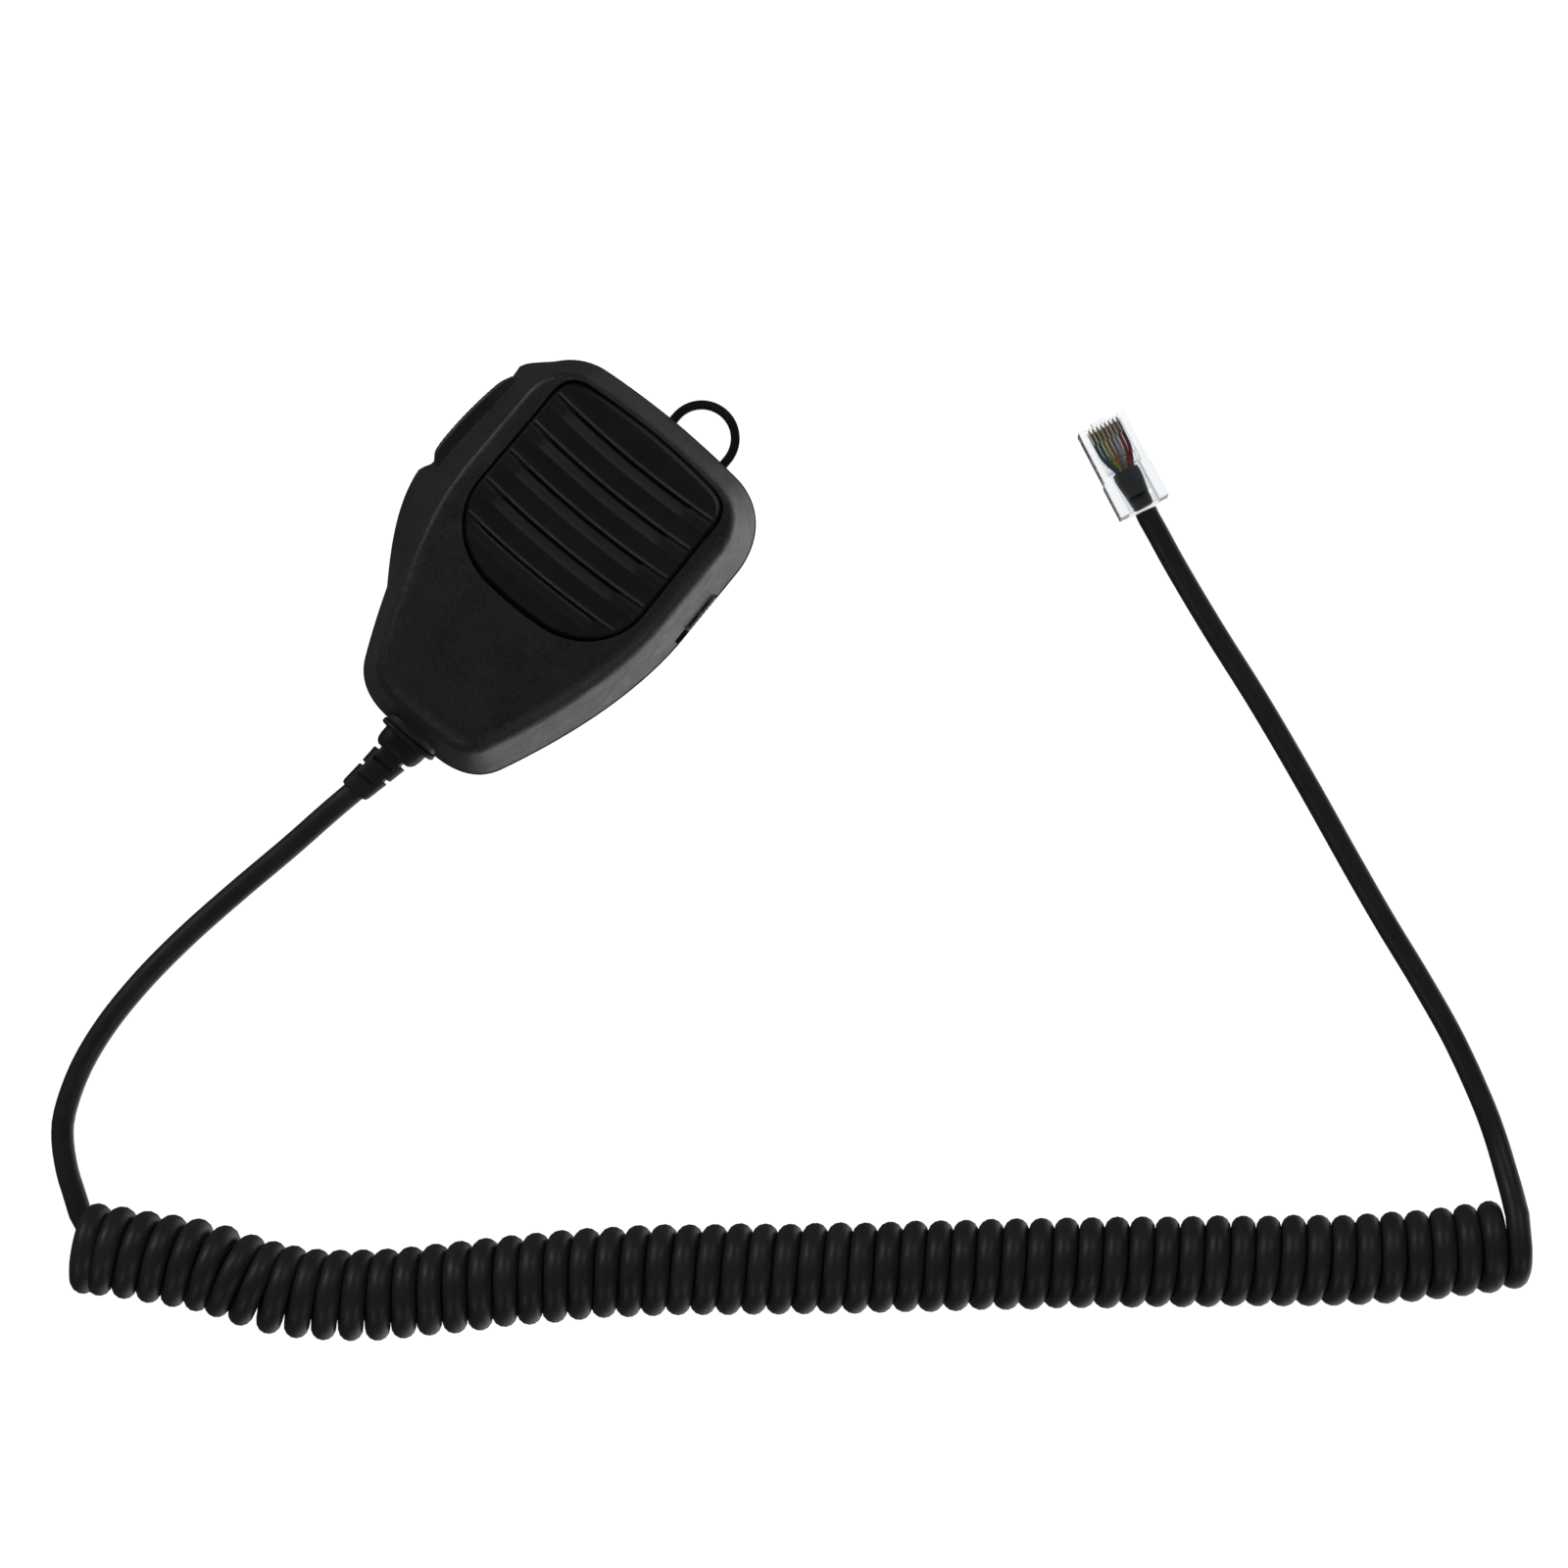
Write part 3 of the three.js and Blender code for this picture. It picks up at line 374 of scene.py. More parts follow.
def make_materials():
    made = {
        # The housing's colour follows its grain strongly: painted glints that stand in for light the grain
        # catches.
        "housing": moulded("housing", (0.029, 0.029, 0.0305), 0.45, mm(0.6), mm(0.08), painted_glint=0.6),
        "grille": moulded("grille", (0.013, 0.0131, 0.014), 0.42, mm(0.5), mm(0.012)),
        "key": moulded("key", (0.017, 0.017, 0.018), 0.46, mm(0.35), mm(0.02)),
        # The real knob is black: its mid-grey colour is a painted highlight, standing in for light caught by
        # its teeth.
        "slider": moulded("slider", (0.16, 0.16, 0.165), 0.35, mm(0.5), mm(0.006)),
        "relief": moulded("relief", (0.023, 0.023, 0.025), 0.5, mm(0.5), mm(0.015), shine=0.25),
        "cord": moulded("cord", (0.03, 0.03, 0.0335), 0.45, mm(0.8), mm(0.012), 0.2, shine=0.35),
        "boot": moulded("boot", (0.008, 0.008, 0.008), 0.8, mm(0.4), mm(0.02)),
        "black_part": moulded("black_part", (0.012, 0.012, 0.013), 0.4, mm(0.2), mm(0.01)),
        "ivory": moulded("ivory", (0.68, 0.63, 0.52), 0.45, mm(0.3), mm(0.005)),
        "board": moulded("board", (0.012, 0.09, 0.035), 0.4, mm(0.6), mm(0.01)),
        "hanger": moulded("hanger", (0.011, 0.0085, 0.008), 0.36, mm(0.4), mm(0.012)),
        "steel": metal("steel", (0.5, 0.5, 0.52), 0.32),
        "tin": metal("tin", (0.55, 0.55, 0.54), 0.42),
        "gold": metal("gold", (0.62, 0.42, 0.15), 0.3),
        "clear_plastic": clear_plastic(),
        "felt": felt(),
    }
    for name, colour in WIRE_COLOURS.items():
        made["wire_" + name] = moulded("wire_" + name, colour, 0.4, mm(0.3), mm(0.004))
    return made


MATERIALS = make_materials()


# ---------- Mesh helpers ----------
def place_piece(name, mesh, slot, body="housing", smooth_angle=SHARP_EDGE):
    """Links a mesh as a piece with its material, smooth up to that angle, riding on a CAD body."""
    mesh.materials.clear()
    mesh.materials.append(MATERIALS[slot])
    mesh.shade_smooth()
    mesh.set_sharp_from_angle(angle=smooth_angle)
    piece = bpy.data.objects.new(name, mesh)
    bpy.context.collection.objects.link(piece)
    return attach(piece, body)


def temporary(data):
    """A bare object that only shapes another."""
    tool = bpy.data.objects.new("tool", data)
    bpy.context.collection.objects.link(tool)
    return tool


def evaluated_mesh(thing):
    """A new mesh from an object's own data and modifiers."""
    return bpy.data.meshes.new_from_object(thing.evaluated_get(bpy.context.evaluated_depsgraph_get()))


def shaped(mesh, cutters=(), kept=(), added=()):
    """The mesh less the cutters, inside the kept meshes and with the added ones."""
    work = temporary(mesh)
    tools = [temporary(tool) for tool in (*cutters, *kept, *added)]
    ways = ["DIFFERENCE"] * len(cutters) + ["INTERSECT"] * len(kept) + ["UNION"] * len(added)
    for tool, way in zip(tools, ways):
        step = work.modifiers.new(way, "BOOLEAN")
        step.object = tool
        step.operation = way
        step.solver = "MANIFOLD"
    result = evaluated_mesh(work)
    for tool in (work, *tools):
        bpy.data.objects.remove(tool)
    return result


def outward_mesh(name, corners, faces):
    """A mesh of these corners and faces, turned to face outwards."""
    mesh = bpy.data.meshes.new(name)
    mesh.from_pydata(corners, [], faces)
    if signed_volume(mesh) < 0:
        mesh.flip_normals()
    return mesh


def skin(rings, fans=True):
    """A closed mesh over a stack of rings with equal numbers of points. Each end is a fan, or one face."""
    count = len(rings[0])
    corners = [point for ring in rings for point in ring]
    faces = []
    for level in range(len(rings) - 1):
        start = level * count
        for i in range(count):
            after = (i + 1) % count
            faces.append((start + i, start + after, start + count + after))
            faces.append((start + i, start + count + after, start + count + i))
    for ring_start, ring, turn in ((0, rings[0], -1), (len(corners) - count, rings[-1], 1)):
        if fans:
            corners.append(sum(ring, Vector()) / count)
            middle = len(corners) - 1
            for i in range(count):
                face = (middle, ring_start + i, ring_start + (i + 1) % count)
                faces.append(face[::turn])
        else:
            faces.append(tuple(range(ring_start, ring_start + count))[::turn])
    return outward_mesh("skin", corners, faces)


def tube_wall(rings):
    """A closed mesh like a hollow ring: each ring of points joins the next, and the last the first."""
    count = len(rings[0])
    faces = []
    for level in range(len(rings)):
        start, above = level * count, (level + 1) % len(rings) * count
        for i in range(count):
            after = (i + 1) % count
            faces.append((start + i, start + after, above + after, above + i))
    return outward_mesh("tube", [point for ring in rings for point in ring], faces)


def signed_volume(mesh):
    """Six times the volume that the mesh encloses, below 0 if its faces point inwards."""
    total = 0
    for face in mesh.polygons:
        first, *others = [mesh.vertices[i].co for i in face.vertices]
        for second, third in zip(others, others[1:]):
            total += first.dot(second.cross(third))
    return total


def ease(value):
    """A smooth step from 0 to 1."""
    value = min(1, max(0, value))
    return value * value * (3 - 2 * value)


def bezier(points, share):
    """The point at a share of the way along a Bezier curve of any order."""
    while len(points) > 1:
        points = [a.lerp(b, share) for a, b in zip(points, points[1:])]
    return points[0]


def path_length(path):
    return sum((b - a).length for a, b in zip(path, path[1:]))


def evenly(path, count):
    """count points at equal steps along the path, its ends included."""
    step = path_length(path) / (count - 1)
    spaced = [path[0].copy()]
    walked = 0
    for a, b in zip(path, path[1:]):
        length = (b - a).length
        while len(spaced) < count - 1 and walked + length >= len(spaced) * step:
            spaced.append(a.lerp(b, (len(spaced) * step - walked) / length))
        walked += length
    spaced.append(path[-1].copy())
    return spaced


def through(points, step):
    """A smooth path through the points, with a corner about every step."""
    points = [Vector(point) for point in points]
    padded = [points[0] * 2 - points[1], *points, points[-1] * 2 - points[-2]]
    path = []
    for before, start, end, after in zip(padded, padded[1:], padded[2:], padded[3:]):
        count = max(1, round((end - start).length / step))
        for i in range(count):
            t = i / count
            bend = before * 2 - start * 5 + end * 4 - after
            twist = start * 3 - before - end * 3 + after
            path.append((start * 2 + (end - before) * t + bend * t**2 + twist * t**3) / 2)
    path.append(points[-1])
    return path


def mirrored_ring(curves, samples):
    """A ring from its right half, Bezier curves in millimetres from the top centre to the bottom centre."""
    steps = 24
    half = []
    for curve in curves:
        points = [Vector((*mm(*point), 0)) for point in curve]
        half += [bezier(points, i / steps) for i in range(steps)]
    half.append(Vector((*mm(*curves[-1][-1]), 0)))
    half = evenly(half, samples // 2 + 1)
    return half + [Vector((-p.x, p.y, 0)) for p in half[-2:0:-1]]


def inset(ring, distance):
    """Each point of a ring that runs clockwise from its top, moved inwards square to the ring."""
    count = len(ring)
    moved = []
    for i, point in enumerate(ring):
        along = (ring[(i + 2) % count] - ring[i - 2]).normalized()
        moved.append(point + Vector((along.y, -along.x, 0)) * distance)
    return moved


def at_height(ring, z):
    return [Vector((p.x, p.y, z)) for p in ring]


def rounded_rectangle(low, high, radius, steps=6):
    """A ring of (u, v) pairs with rounded corners."""
    ring = []
    corners = [(high[0], high[1], 0), (low[0], high[1], 1), (low[0], low[1], 2), (high[0], low[1], 3)]
    for u, v, quarter in corners:
        middle_u = u - math.copysign(radius, u - (low[0] + high[0]) / 2)
        middle_v = v - math.copysign(radius, v - (low[1] + high[1]) / 2)
        for i in range(steps + 1):
            angle = math.pi / 2 * (quarter + i / steps)
            ring.append((middle_u + radius * math.cos(angle), middle_v + radius * math.sin(angle)))
    return ring


def circle(centre, radius, sides=32):
    """A ring of (u, v) pairs."""
    angles = [2 * math.pi * i / sides for i in range(sides)]
    return [(centre[0] + radius * math.cos(a), centre[1] + radius * math.sin(a)) for a in angles]


def bar_along_x(ring, start, end):
    """A straight bar from a ring of (y, z) pairs."""
    return skin([[Vector((x, y, z)) for y, z in ring] for x in (start, end)])


def bar_along_y(ring, start, end):
    """A straight bar from a ring of (x, z) pairs."""
    return skin([[Vector((x, y, z)) for x, z in ring] for y in (start, end)])


def bar_along_z(ring, start, end):
    """A straight bar from a ring of (x, y) pairs."""
    return skin([[Vector((x, y, z)) for x, y in ring] for z in (start, end)])


def plate(loops, low, high, edge):
    """A flat plate with rounded edges from (x, y) loops, the first outside and the others holes."""
    curve = bpy.data.curves.new("plate", "CURVE")
    curve.dimensions = "2D"
    curve.fill_mode = "BOTH"
    for loop in loops:
        spline = curve.splines.new("POLY")
        spline.points.add(len(loop) - 1)
        for point, (x, y) in zip(spline.points, loop):
            point.co = (x, y, 0, 1)
        spline.use_cyclic_u = True
    curve.extrude = (high - low) / 2 - edge
    curve.bevel_depth = edge
    curve.bevel_resolution = 2
    curve.offset = -edge
    shape = temporary(curve)
    mesh = evaluated_mesh(shape)
    bpy.data.objects.remove(shape)
    joined = bmesh.new()
    joined.from_mesh(mesh)
    bmesh.ops.remove_doubles(joined, verts=joined.verts, dist=mm(0.001))
    bmesh.ops.recalc_face_normals(joined, faces=joined.faces)
    joined.to_mesh(mesh)
    joined.free()
    mesh.transform(Matrix.Translation((0, 0, (low + high) / 2)))
    return mesh


# ---------- Cord ----------
def smoothed(path, reach):
    """The path with each point averaged with its neighbours, reach of them on each side."""
    last = len(path) - 1
    result = []
    for i in range(len(path)):
        span = min(reach, i, last - i)
        result.append(sum(path[i - span : i + span + 1], Vector()) / (2 * span + 1))
    return result


def curl(axis_points):
    """A left-handed helix round the axis, from its lowest point to its highest."""
    count = round(CURL_TURNS * CURL_POINTS_PER_TURN) + 1
    axis = evenly(through([(*point, CURL_AXIS_Z) for point in axis_points], mm(1)), count)
    axis = smoothed(axis, CURL_POINTS_PER_TURN)
    helix = []
    for i, middle in enumerate(axis):
        along = (axis[min(i + 1, count - 1)] - axis[max(i - 1, 0)]).normalized()
        left = Vector((-along.y, along.x, 0))
        turn = i / CURL_POINTS_PER_TURN
        angle = -math.pi / 2 - 2 * math.pi * turn
        unevenness = 0.008 * math.sin(turn * 1.7) + 0.007 * math.sin(turn * 4.3)
        radius = CURL_MIDDLE_RADIUS * (1 + unevenness)
        across = left * math.cos(angle) + Vector((0, 0, math.sin(angle)))
        tuck = along * CURL_TUCK * max(0, 1 - turn) ** 2
        helix.append(middle + tuck + across * radius)
    return helix


def plug_point(x, y, z):
    """A point in the CAD frame from millimetres in the plug's: cable end at y = 0, contacts upwards."""
    turned = Matrix.Rotation(PLUG_TURN, 3, "Z") @ Matrix.Rotation(PLUG_TILT, 3, "X")
    return turned @ Vector(mm(x, y, z)) + Vector(PLUG_PLACE)


def round_cornered(angle, power):
    """A point at that angle of a ring between a circle (power 1) and a square (power 0)."""
    u, v = math.cos(angle), math.sin(angle)
    return math.copysign(abs(u) ** power, u), math.copysign(abs(v) ** power, v)


def make_plug_jacket():
    """The flattened end of the cord's sheath, squeezed narrower at the cable end."""
    sides = 40
    middle_z = 3.25
    sections = [  # y, half width and half height
        (0.2, 2.2, 2.1), (0.4, 2.4, 2.3), (4, 2.75, 2.3), (6.5, 3.1, 2.2), (8.4, 3.25, 2.05),
        (9.6, 3.1, 1.9), (9.75, 2.9, 1.7),
    ]
    rings = []
    for y, half_width, half_height in sections:
        corners = [round_cornered(2 * math.pi * i / sides, 0.8) for i in range(sides)]
        rings.append([plug_point(half_width * u, y, middle_z + half_height * v) for u, v in corners])
    jacket = place_piece("plug_sheath", skin(rings), "cord")
    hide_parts("plug_jacket")
    return jacket


def make_plug_wire(index):
    """One of the eight wires, which fan out from the sheath and lie side by side under the contacts."""
    radius = mm(0.46)
    sides = 12
    x = (index - (len(WIRE_COLOURS) - 1) / 2) * WIRE_PITCH / mm(1)
    layer = 0.45 * (-1) ** index  # the wires leave the sheath in two layers
    route = [
        plug_point(x * 0.5, 9.3, 3.4 + layer), plug_point(x * 0.6, 10.4, 3.8 + layer),
        plug_point(x * 0.85, 12.6, 4.1), plug_point(x * 0.97, 14.5, 4.15),
        plug_point(x, 16.5, 4.15), plug_point(x, 20.7, 4.15),
    ]
    path = smoothed(through(route, mm(0.25)), 2)
    rings = []
    for i, point in enumerate(path):
        along = (path[min(i + 1, len(path) - 1)] - path[max(i - 1, 0)]).normalized()
        side = along.cross(Vector((0, 0, 1))).normalized()
        over = side.cross(along)
        rings.append([point + side * u + over * v for u, v in circle((0, 0), radius, sides)])
    colour = list(WIRE_COLOURS)[index]
    wire = place_piece(f"plug_wire_{index + 1}_sleeve", skin(rings), "wire_" + colour)
    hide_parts(f"plug_wire_{index + 1}")
    return wire


def make_cord():
    """The whole cord, from inside the strain relief to the plug, and what lies on it."""
    first_lead = through(LEAD_FROM_MICROPHONE, mm(2))
    curled = curl(CURL_AXIS)
    path = first_lead + curled + through(LEAD_TO_PLUG, mm(2))
    curve = bpy.data.curves.new("cord", "CURVE")
    curve.dimensions = "3D"
    curve.bevel_depth = CORD_RADIUS
    curve.bevel_resolution = 5
    curve.use_fill_caps = True
    spline = curve.splines.new("POLY")
    spline.points.add(len(path) - 1)
    for i, (point, place) in enumerate(zip(spline.points, path)):
        turns_in = min(i - len(first_lead), len(first_lead) + len(curled) - i) / CURL_POINTS_PER_TURN
        point.co = (*place, 1)
        point.radius = 1 + (CURL_SWELL - 1) * ease(turns_in + 0.5)
    curve.materials.append(MATERIALS["cord"])
    cord = bpy.data.objects.new("cord", curve)
    bpy.context.collection.objects.link(cord)
    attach(cord, "housing")
    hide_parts("cord_lead_mic", "cord_curl", "cord_lead_plug")
    made = [make_plug_jacket(), *[make_plug_wire(index) for index in range(len(WIRE_COLOURS))]]


# ---------- Housing ----------
BODY_CURVES = [
    [(0, 47.2), (11, 47.1), (20.3, 46.1)],
    [(20.3, 46.1), (28.5, 44.6), (32.9, 38), (33.2, 30)],
    [(33.2, 30), (33.3, 12)],
    [(33.3, 12), (33.9, -10), (20.3, -39.5)],
    [(20.3, -39.5), (17.2, -46.3), (8, -46.9)],
    [(8, -46.9), (0, -47.1)],
]
PANEL_CURVES = [
    [(0, 40.6), (9, 40.5), (17, 39.7)],
    [(17, 39.7), (21.5, 39.2), (23.3, 37.5), (23.4, 32.5)],
    [(23.4, 32.5), (23.7, 8)],
    [(23.7, 8), (23.6, 0.5), (18.5, -6.2), (9, -8)],
    [(9, -8), (4, -8.5), (0, -8.5)],
]
BODY_RING = mirrored_ring(BODY_CURVES, RING_SAMPLES)
PANEL_RING = mirrored_ring(PANEL_CURVES, RING_SAMPLES)

FLANK_START = mm(0.3, 11.3)  # inset and height
FLANK_SLOPE = math.radians(15.4)
FILLET_RIGHT = mm(4.3)
FILLET_LEFT = mm(1.7)
CROWN_LOW = mm(29.3)
CROWN_RISE = mm(1.25)
REST_FOOT_Y = -24  # in millimetres, like REST_STEPS: y and how far the flank stands out there
REST_STEPS = [(1, 5.4), (5, 3.5), (32, 2.1), (34.1, 2.8), (41, 0)]
REST_FADE = 0.92  # how much of it has faded at the height of the crown


def finger_rest(y):
    """How far the left flank stands out: the finger rest, the strip over the key, and a shoulder."""
    y = y / mm(1)
    peak_y, peak = REST_STEPS[0]
    if y <= REST_FOOT_Y or y >= REST_STEPS[-1][0]:
        return 0
    if y <= peak_y:
        return mm(peak) * math.sin(math.pi / 2 * (y - REST_FOOT_Y) / (peak_y - REST_FOOT_Y))
    for (low, start), (high, end) in zip(REST_STEPS, REST_STEPS[1:]):
        if y <= high:
            return mm(start + (end - start) * ease((y - low) / (high - low)))


def body_ring(distance, rest_share, z):
    """The body's outline, moved inwards by a distance, with a share of the finger rest."""
    ring = inset(BODY_RING, distance)
    for point in ring:
        if point.x < 0:
            point.x -= rest_share * finger_rest(point.y)
        point.z = z
    return ring


def crown_height(x, y):
    """The front face: a shallow dome, higher in the middle."""
    half_width, half_length, middle_y = mm(27.5, 45, 2)
    across = 1 - (x / half_width) ** 2
    along = 1 - ((y - middle_y) / half_length) ** 4
    return CROWN_LOW + CROWN_RISE * across * along


def front_point(start, inward, fillet, flank_share, fillet_share):
    """A point of the flank or, past it, of the rounded edge, above a point of the body's outline."""
    start_inset, start_z = FLANK_START
    middle_z = CROWN_LOW - fillet
    flank_inset = start_inset + math.tan(FLANK_SLOPE) * (middle_z - start_z)
    middle_inset = flank_inset + fillet / math.cos(FLANK_SLOPE)
    angle = FLANK_SLOPE + fillet_share * (math.pi / 2 - FLANK_SLOPE)
    top_z = middle_z + fillet * math.sin(angle)
    z = start_z + flank_share * (top_z - start_z)
    distance = start_inset + flank_share * (middle_inset - fillet * math.cos(angle) - start_inset)
    point = start + inward * distance
    if point.x < 0:
        fade = (z - start_z) / (CROWN_LOW - start_z)
        point.x -= finger_rest(point.y) * (1 - REST_FADE * ease(fade) ** 0.8)
    point.z = z + fillet_share**3 * (crown_height(point.x, point.y) - CROWN_LOW)
    return point


def front_outside():
    """The outer form of the front shell: flank, rounded edge and crowned face."""
    flank_steps, fillet_steps, crown_steps = 12, 9, 14
    crisp_from, crisp_over = mm(12), mm(12)
    inwards = [moved - start for moved, start in zip(inset(BODY_RING, 1), BODY_RING)]
    crispness = [ease((-crisp_from - start.x) / crisp_over) for start in BODY_RING]
    fillets = [FILLET_RIGHT + (FILLET_LEFT - FILLET_RIGHT) * crisp for crisp in crispness]
    sides = list(zip(BODY_RING, inwards, fillets))
    shares = [(i / flank_steps, 0) for i in range(flank_steps + 1)]
    shares += [(1, i / fillet_steps) for i in range(1, fillet_steps + 1)]
    rings = [[front_point(*side, *share) for side in sides] for share in shares]
    edge = mm(0.35)
    lip = [point + inward * edge for point, inward in zip(rings[0], inwards)]
    corner_rise = Vector((0, 0, edge * 0.25))
    corner = [point + inward * edge * 0.25 + corner_rise for point, inward in zip(rings[0], inwards)]
    for point, inward in zip(rings[0], inwards):
        point += inward * edge * 0.1
        point.z += edge
    rings = [lip, corner, *rings]
    rim = rings[-1]
    centre = Vector(mm(0, 2, 0))
    for i in range(1, crown_steps):
        ring = [centre + (point - centre) * (1 - i / crown_steps) for point in rim]
        rings.append([Vector((p.x, p.y, crown_height(p.x, p.y))) for p in ring])
    return skin(rings)


def back_outside():
    """The outer form of the rear cover: a flat back with broad rounded edges."""
    levels = [  # inset, share of the finger rest and height
        (6.6, 0.3, 0), (5.4, 0.5, 0.12), (4.2, 0.65, 0.7), (2.6, 0.8, 2.4), (1, 0.95, 5.2), (0.25, 1, 8),
    ]
    smooth = through([mm(*level) for level in levels], mm(0.5))
    rings = [body_ring(level.x, level.y / mm(1), level.z) for level in smooth]
    rings += [body_ring(mm(0.02), 1, PARTING_Z - mm(0.3)), body_ring(mm(0.25), 1, PARTING_Z)]
    return skin(rings)


def key_opening():
    """Cuts the key's opening, whose lower end slants as the key's does."""
    end_gap = mm(0.06)
    rings = []
    for x in mm(-45, -30):
        low = (key_end_y(x) - end_gap, KEY_Z[0] - OPENING_MARGIN)
        high = (KEY_Y[1] + end_gap, KEY_Z[1] + OPENING_MARGIN)
        rings.append([Vector((x, y, z)) for y, z in rounded_rectangle(low, high, mm(0.5))])
    return skin(rings)


def key_end_y(x):
    return KEY_Y[0] - KEY_END_SLANT * (x - KEY_END_X)


def knob_opening():
    low = (KNOB_Y[0] - KNOB_TRAVEL - OPENING_MARGIN, KNOB_Z[0] - OPENING_MARGIN)
    high = (KNOB_Y[1] + OPENING_MARGIN, KNOB_Z[1] + OPENING_MARGIN)
    return bar_along_x(rounded_rectangle(low, high, mm(0.7)), mm(28), mm(36))


def cord_opening():
    middle = (RELIEF_TOP_X, RELIEF_Z)
    ring = [(x, RELIEF_Z + (z - RELIEF_Z) * RELIEF_FLATNESS) for x, z in circle(middle, mm(4.9))]
    return bar_along_y(ring, mm(-50), mm(-42))


def panel_recess():
    """Cuts the pocket for the grille panel, wider at the top and the bottom, with a broken upper edge."""
    gap, gap_at_top, gap_at_bottom = mm(0.15, 0.6, 0.25)
    floor_z, open_z = mm(26.4, 40)
    ring = []
    for point, outer in zip(PANEL_RING, inset(PANEL_RING, -gap)):
        extra = gap_at_top * max(0, (point.y - mm(30)) / mm(10.6))
        extra += gap_at_bottom * max(0, -point.y / mm(8.5))
        ring.append(outer + (outer - point).normalized() * extra)
    rings = [at_height(ring, floor_z)]
    for margin, over in (mm(0, -0.35), mm(0.2, 0.02), mm(0.5, 0.5)):
        rings.append([Vector((p.x, p.y, surface_height(p) + over)) for p in inset(ring, -margin)])
    rings.append(at_height(rings[-1], open_z))
    return skin(rings)


def surface_height(point):
    """Height of the outside near the grille panel, where the top edge falls away over the fillet."""
    fall_start = mm(38.2)
    fall_radius = mm(4.5)
    fall = max(0, point.y - fall_start)
    return crown_height(point.x, point.y) - fall**2 / (2 * fall_radius)


def make_front_shell():
    levels = [(2.3, 1, 9), (2.3, 1, 12), (6.4, 0.22, 24)]
    room = skin([body_ring(mm(step), share, mm(z)) for step, share, z in levels])
    cuts = [room, panel_recess(), key_opening(), knob_opening(), cord_opening()]
    mesh = shaped(front_outside(), cutters=cuts)
    shell = place_piece("front_shell_skin", mesh, "housing")
    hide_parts("front_shell")


def make_rear_cover():
    levels = [(6.2, 0.4, 3.6), (3.2, 0.8, 6), (2.2, 1, 13)]
    room = skin([body_ring(mm(step), share, mm(z)) for step, share, z in levels])
    plate_low = tuple(value - OPENING_MARGIN for value in HANGER_LOW)
    plate_high = tuple(value + OPENING_MARGIN for value in HANGER_HIGH)
    leg_low = (LOOP_CENTRE[0] - LOOP_RADIUS - OPENING_MARGIN, mm(38))
    leg_high = (LOOP_CENTRE[0] + LOOP_RADIUS + OPENING_MARGIN, mm(60))
    cuts = [
        room,
        key_opening(),
        knob_opening(),
        cord_opening(),
        bar_along_z(rounded_rectangle(plate_low, plate_high, mm(0.8)), mm(-1), mm(2)),
        bar_along_z(rounded_rectangle(leg_low, leg_high, mm(0.5)), mm(-1), mm(2)),
        *[bar_along_z(circle(place, mm(2.9)), mm(-1), mm(3.1)) for place in CASE_SCREWS],
        *[bar_along_z(circle(place, mm(1.7)), mm(3), mm(5)) for place in CASE_SCREWS],
        *[bar_along_z(circle(place, mm(1.4)), mm(1), mm(5)) for place in HANGER_SCREWS],
    ]
    cover = place_piece("rear_cover_skin", shaped(back_outside(), cutters=cuts), "housing")
    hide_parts("rear_cover")


# ---------- Grille panel ----------
SCOOP_X = mm(-18.6, 16.1)
SCOOP_END = mm(1.8)
SLAT_PROFILE = [  # y from the ridge and rise, down over one ridge and its valley
    (2.6, 0), (1.2, 0.02), (0.6, 0.08), (0.24, 0.26), (0.06, 0.24), (-0.06, 0.1),
    (-0.14, -0.3), (-0.18, -0.75), (-0.6, -0.8), (-0.75, -0.62), (-1.8, -0.36),
    (-3.1, -0.06), (-3.4, 0.05), (-3.9, 0),
]
SLAT_Z = mm(30.2)


def ridge_y(index, x):
    """The slats' edges bow down in the middle of the panel."""
    bow = mm(1.1)
    half_width = mm(23)
    return RIDGE_TOP_Y - index * RIDGE_PITCH - bow / 2 + bow * (x / half_width) ** 2


def scoop_depth(x, index):
    """How deep the valley is: full between the scoop's ends, shallow outside them."""
    shallow = 0.35
    last_valley = 0.45
    inside = min(x - SCOOP_X[0], SCOOP_X[1] - x) / SCOOP_END
    share = min(1, max(0, inside + 0.5))
    depth = shallow + (1 - shallow) * share
    return depth if index < RIDGE_COUNT - 1 else depth * last_valley


def panel_slats():
    """The louvred top over a flat underside, wider than the panel, to be trimmed to its outline."""
    columns = 100
    top_y, bottom_y = mm(45, -12)
    across = [mm(-25) + mm(50) * i / columns for i in range(columns + 1)]
    rows = [[Vector((x, top_y, z)) for x in across] for z in (PANEL_LOW, SLAT_Z)]
    for index in range(RIDGE_COUNT):
        for offset, rise in SLAT_PROFILE:
            row = []
            for x in across:
                lift = rise if rise > 0 else rise * scoop_depth(x, index)
                row.append(Vector((x, ridge_y(index, x) + mm(offset), SLAT_Z + mm(lift))))
            rows.append(row)
    rows += [[Vector((x, bottom_y, z)) for x in across] for z in (SLAT_Z, PANEL_LOW)]
    return skin([[row[i] for row in rows] for i in range(len(across))], fans=False)


def slot_under(index):
    """A thin curved bar that cuts the slot under one ridge."""
    half = mm(16.8)
    steps = 24
    top, bottom = mm(-0.2, -0.58)
    xs = [-half + 2 * half * i / steps for i in range(steps + 1)]
    ring = [(x, ridge_y(index, x) + top) for x in xs]
    ring += [(x, ridge_y(index, x) + bottom) for x in reversed(xs)]
    return bar_along_z(ring, mm(26.5), mm(30))


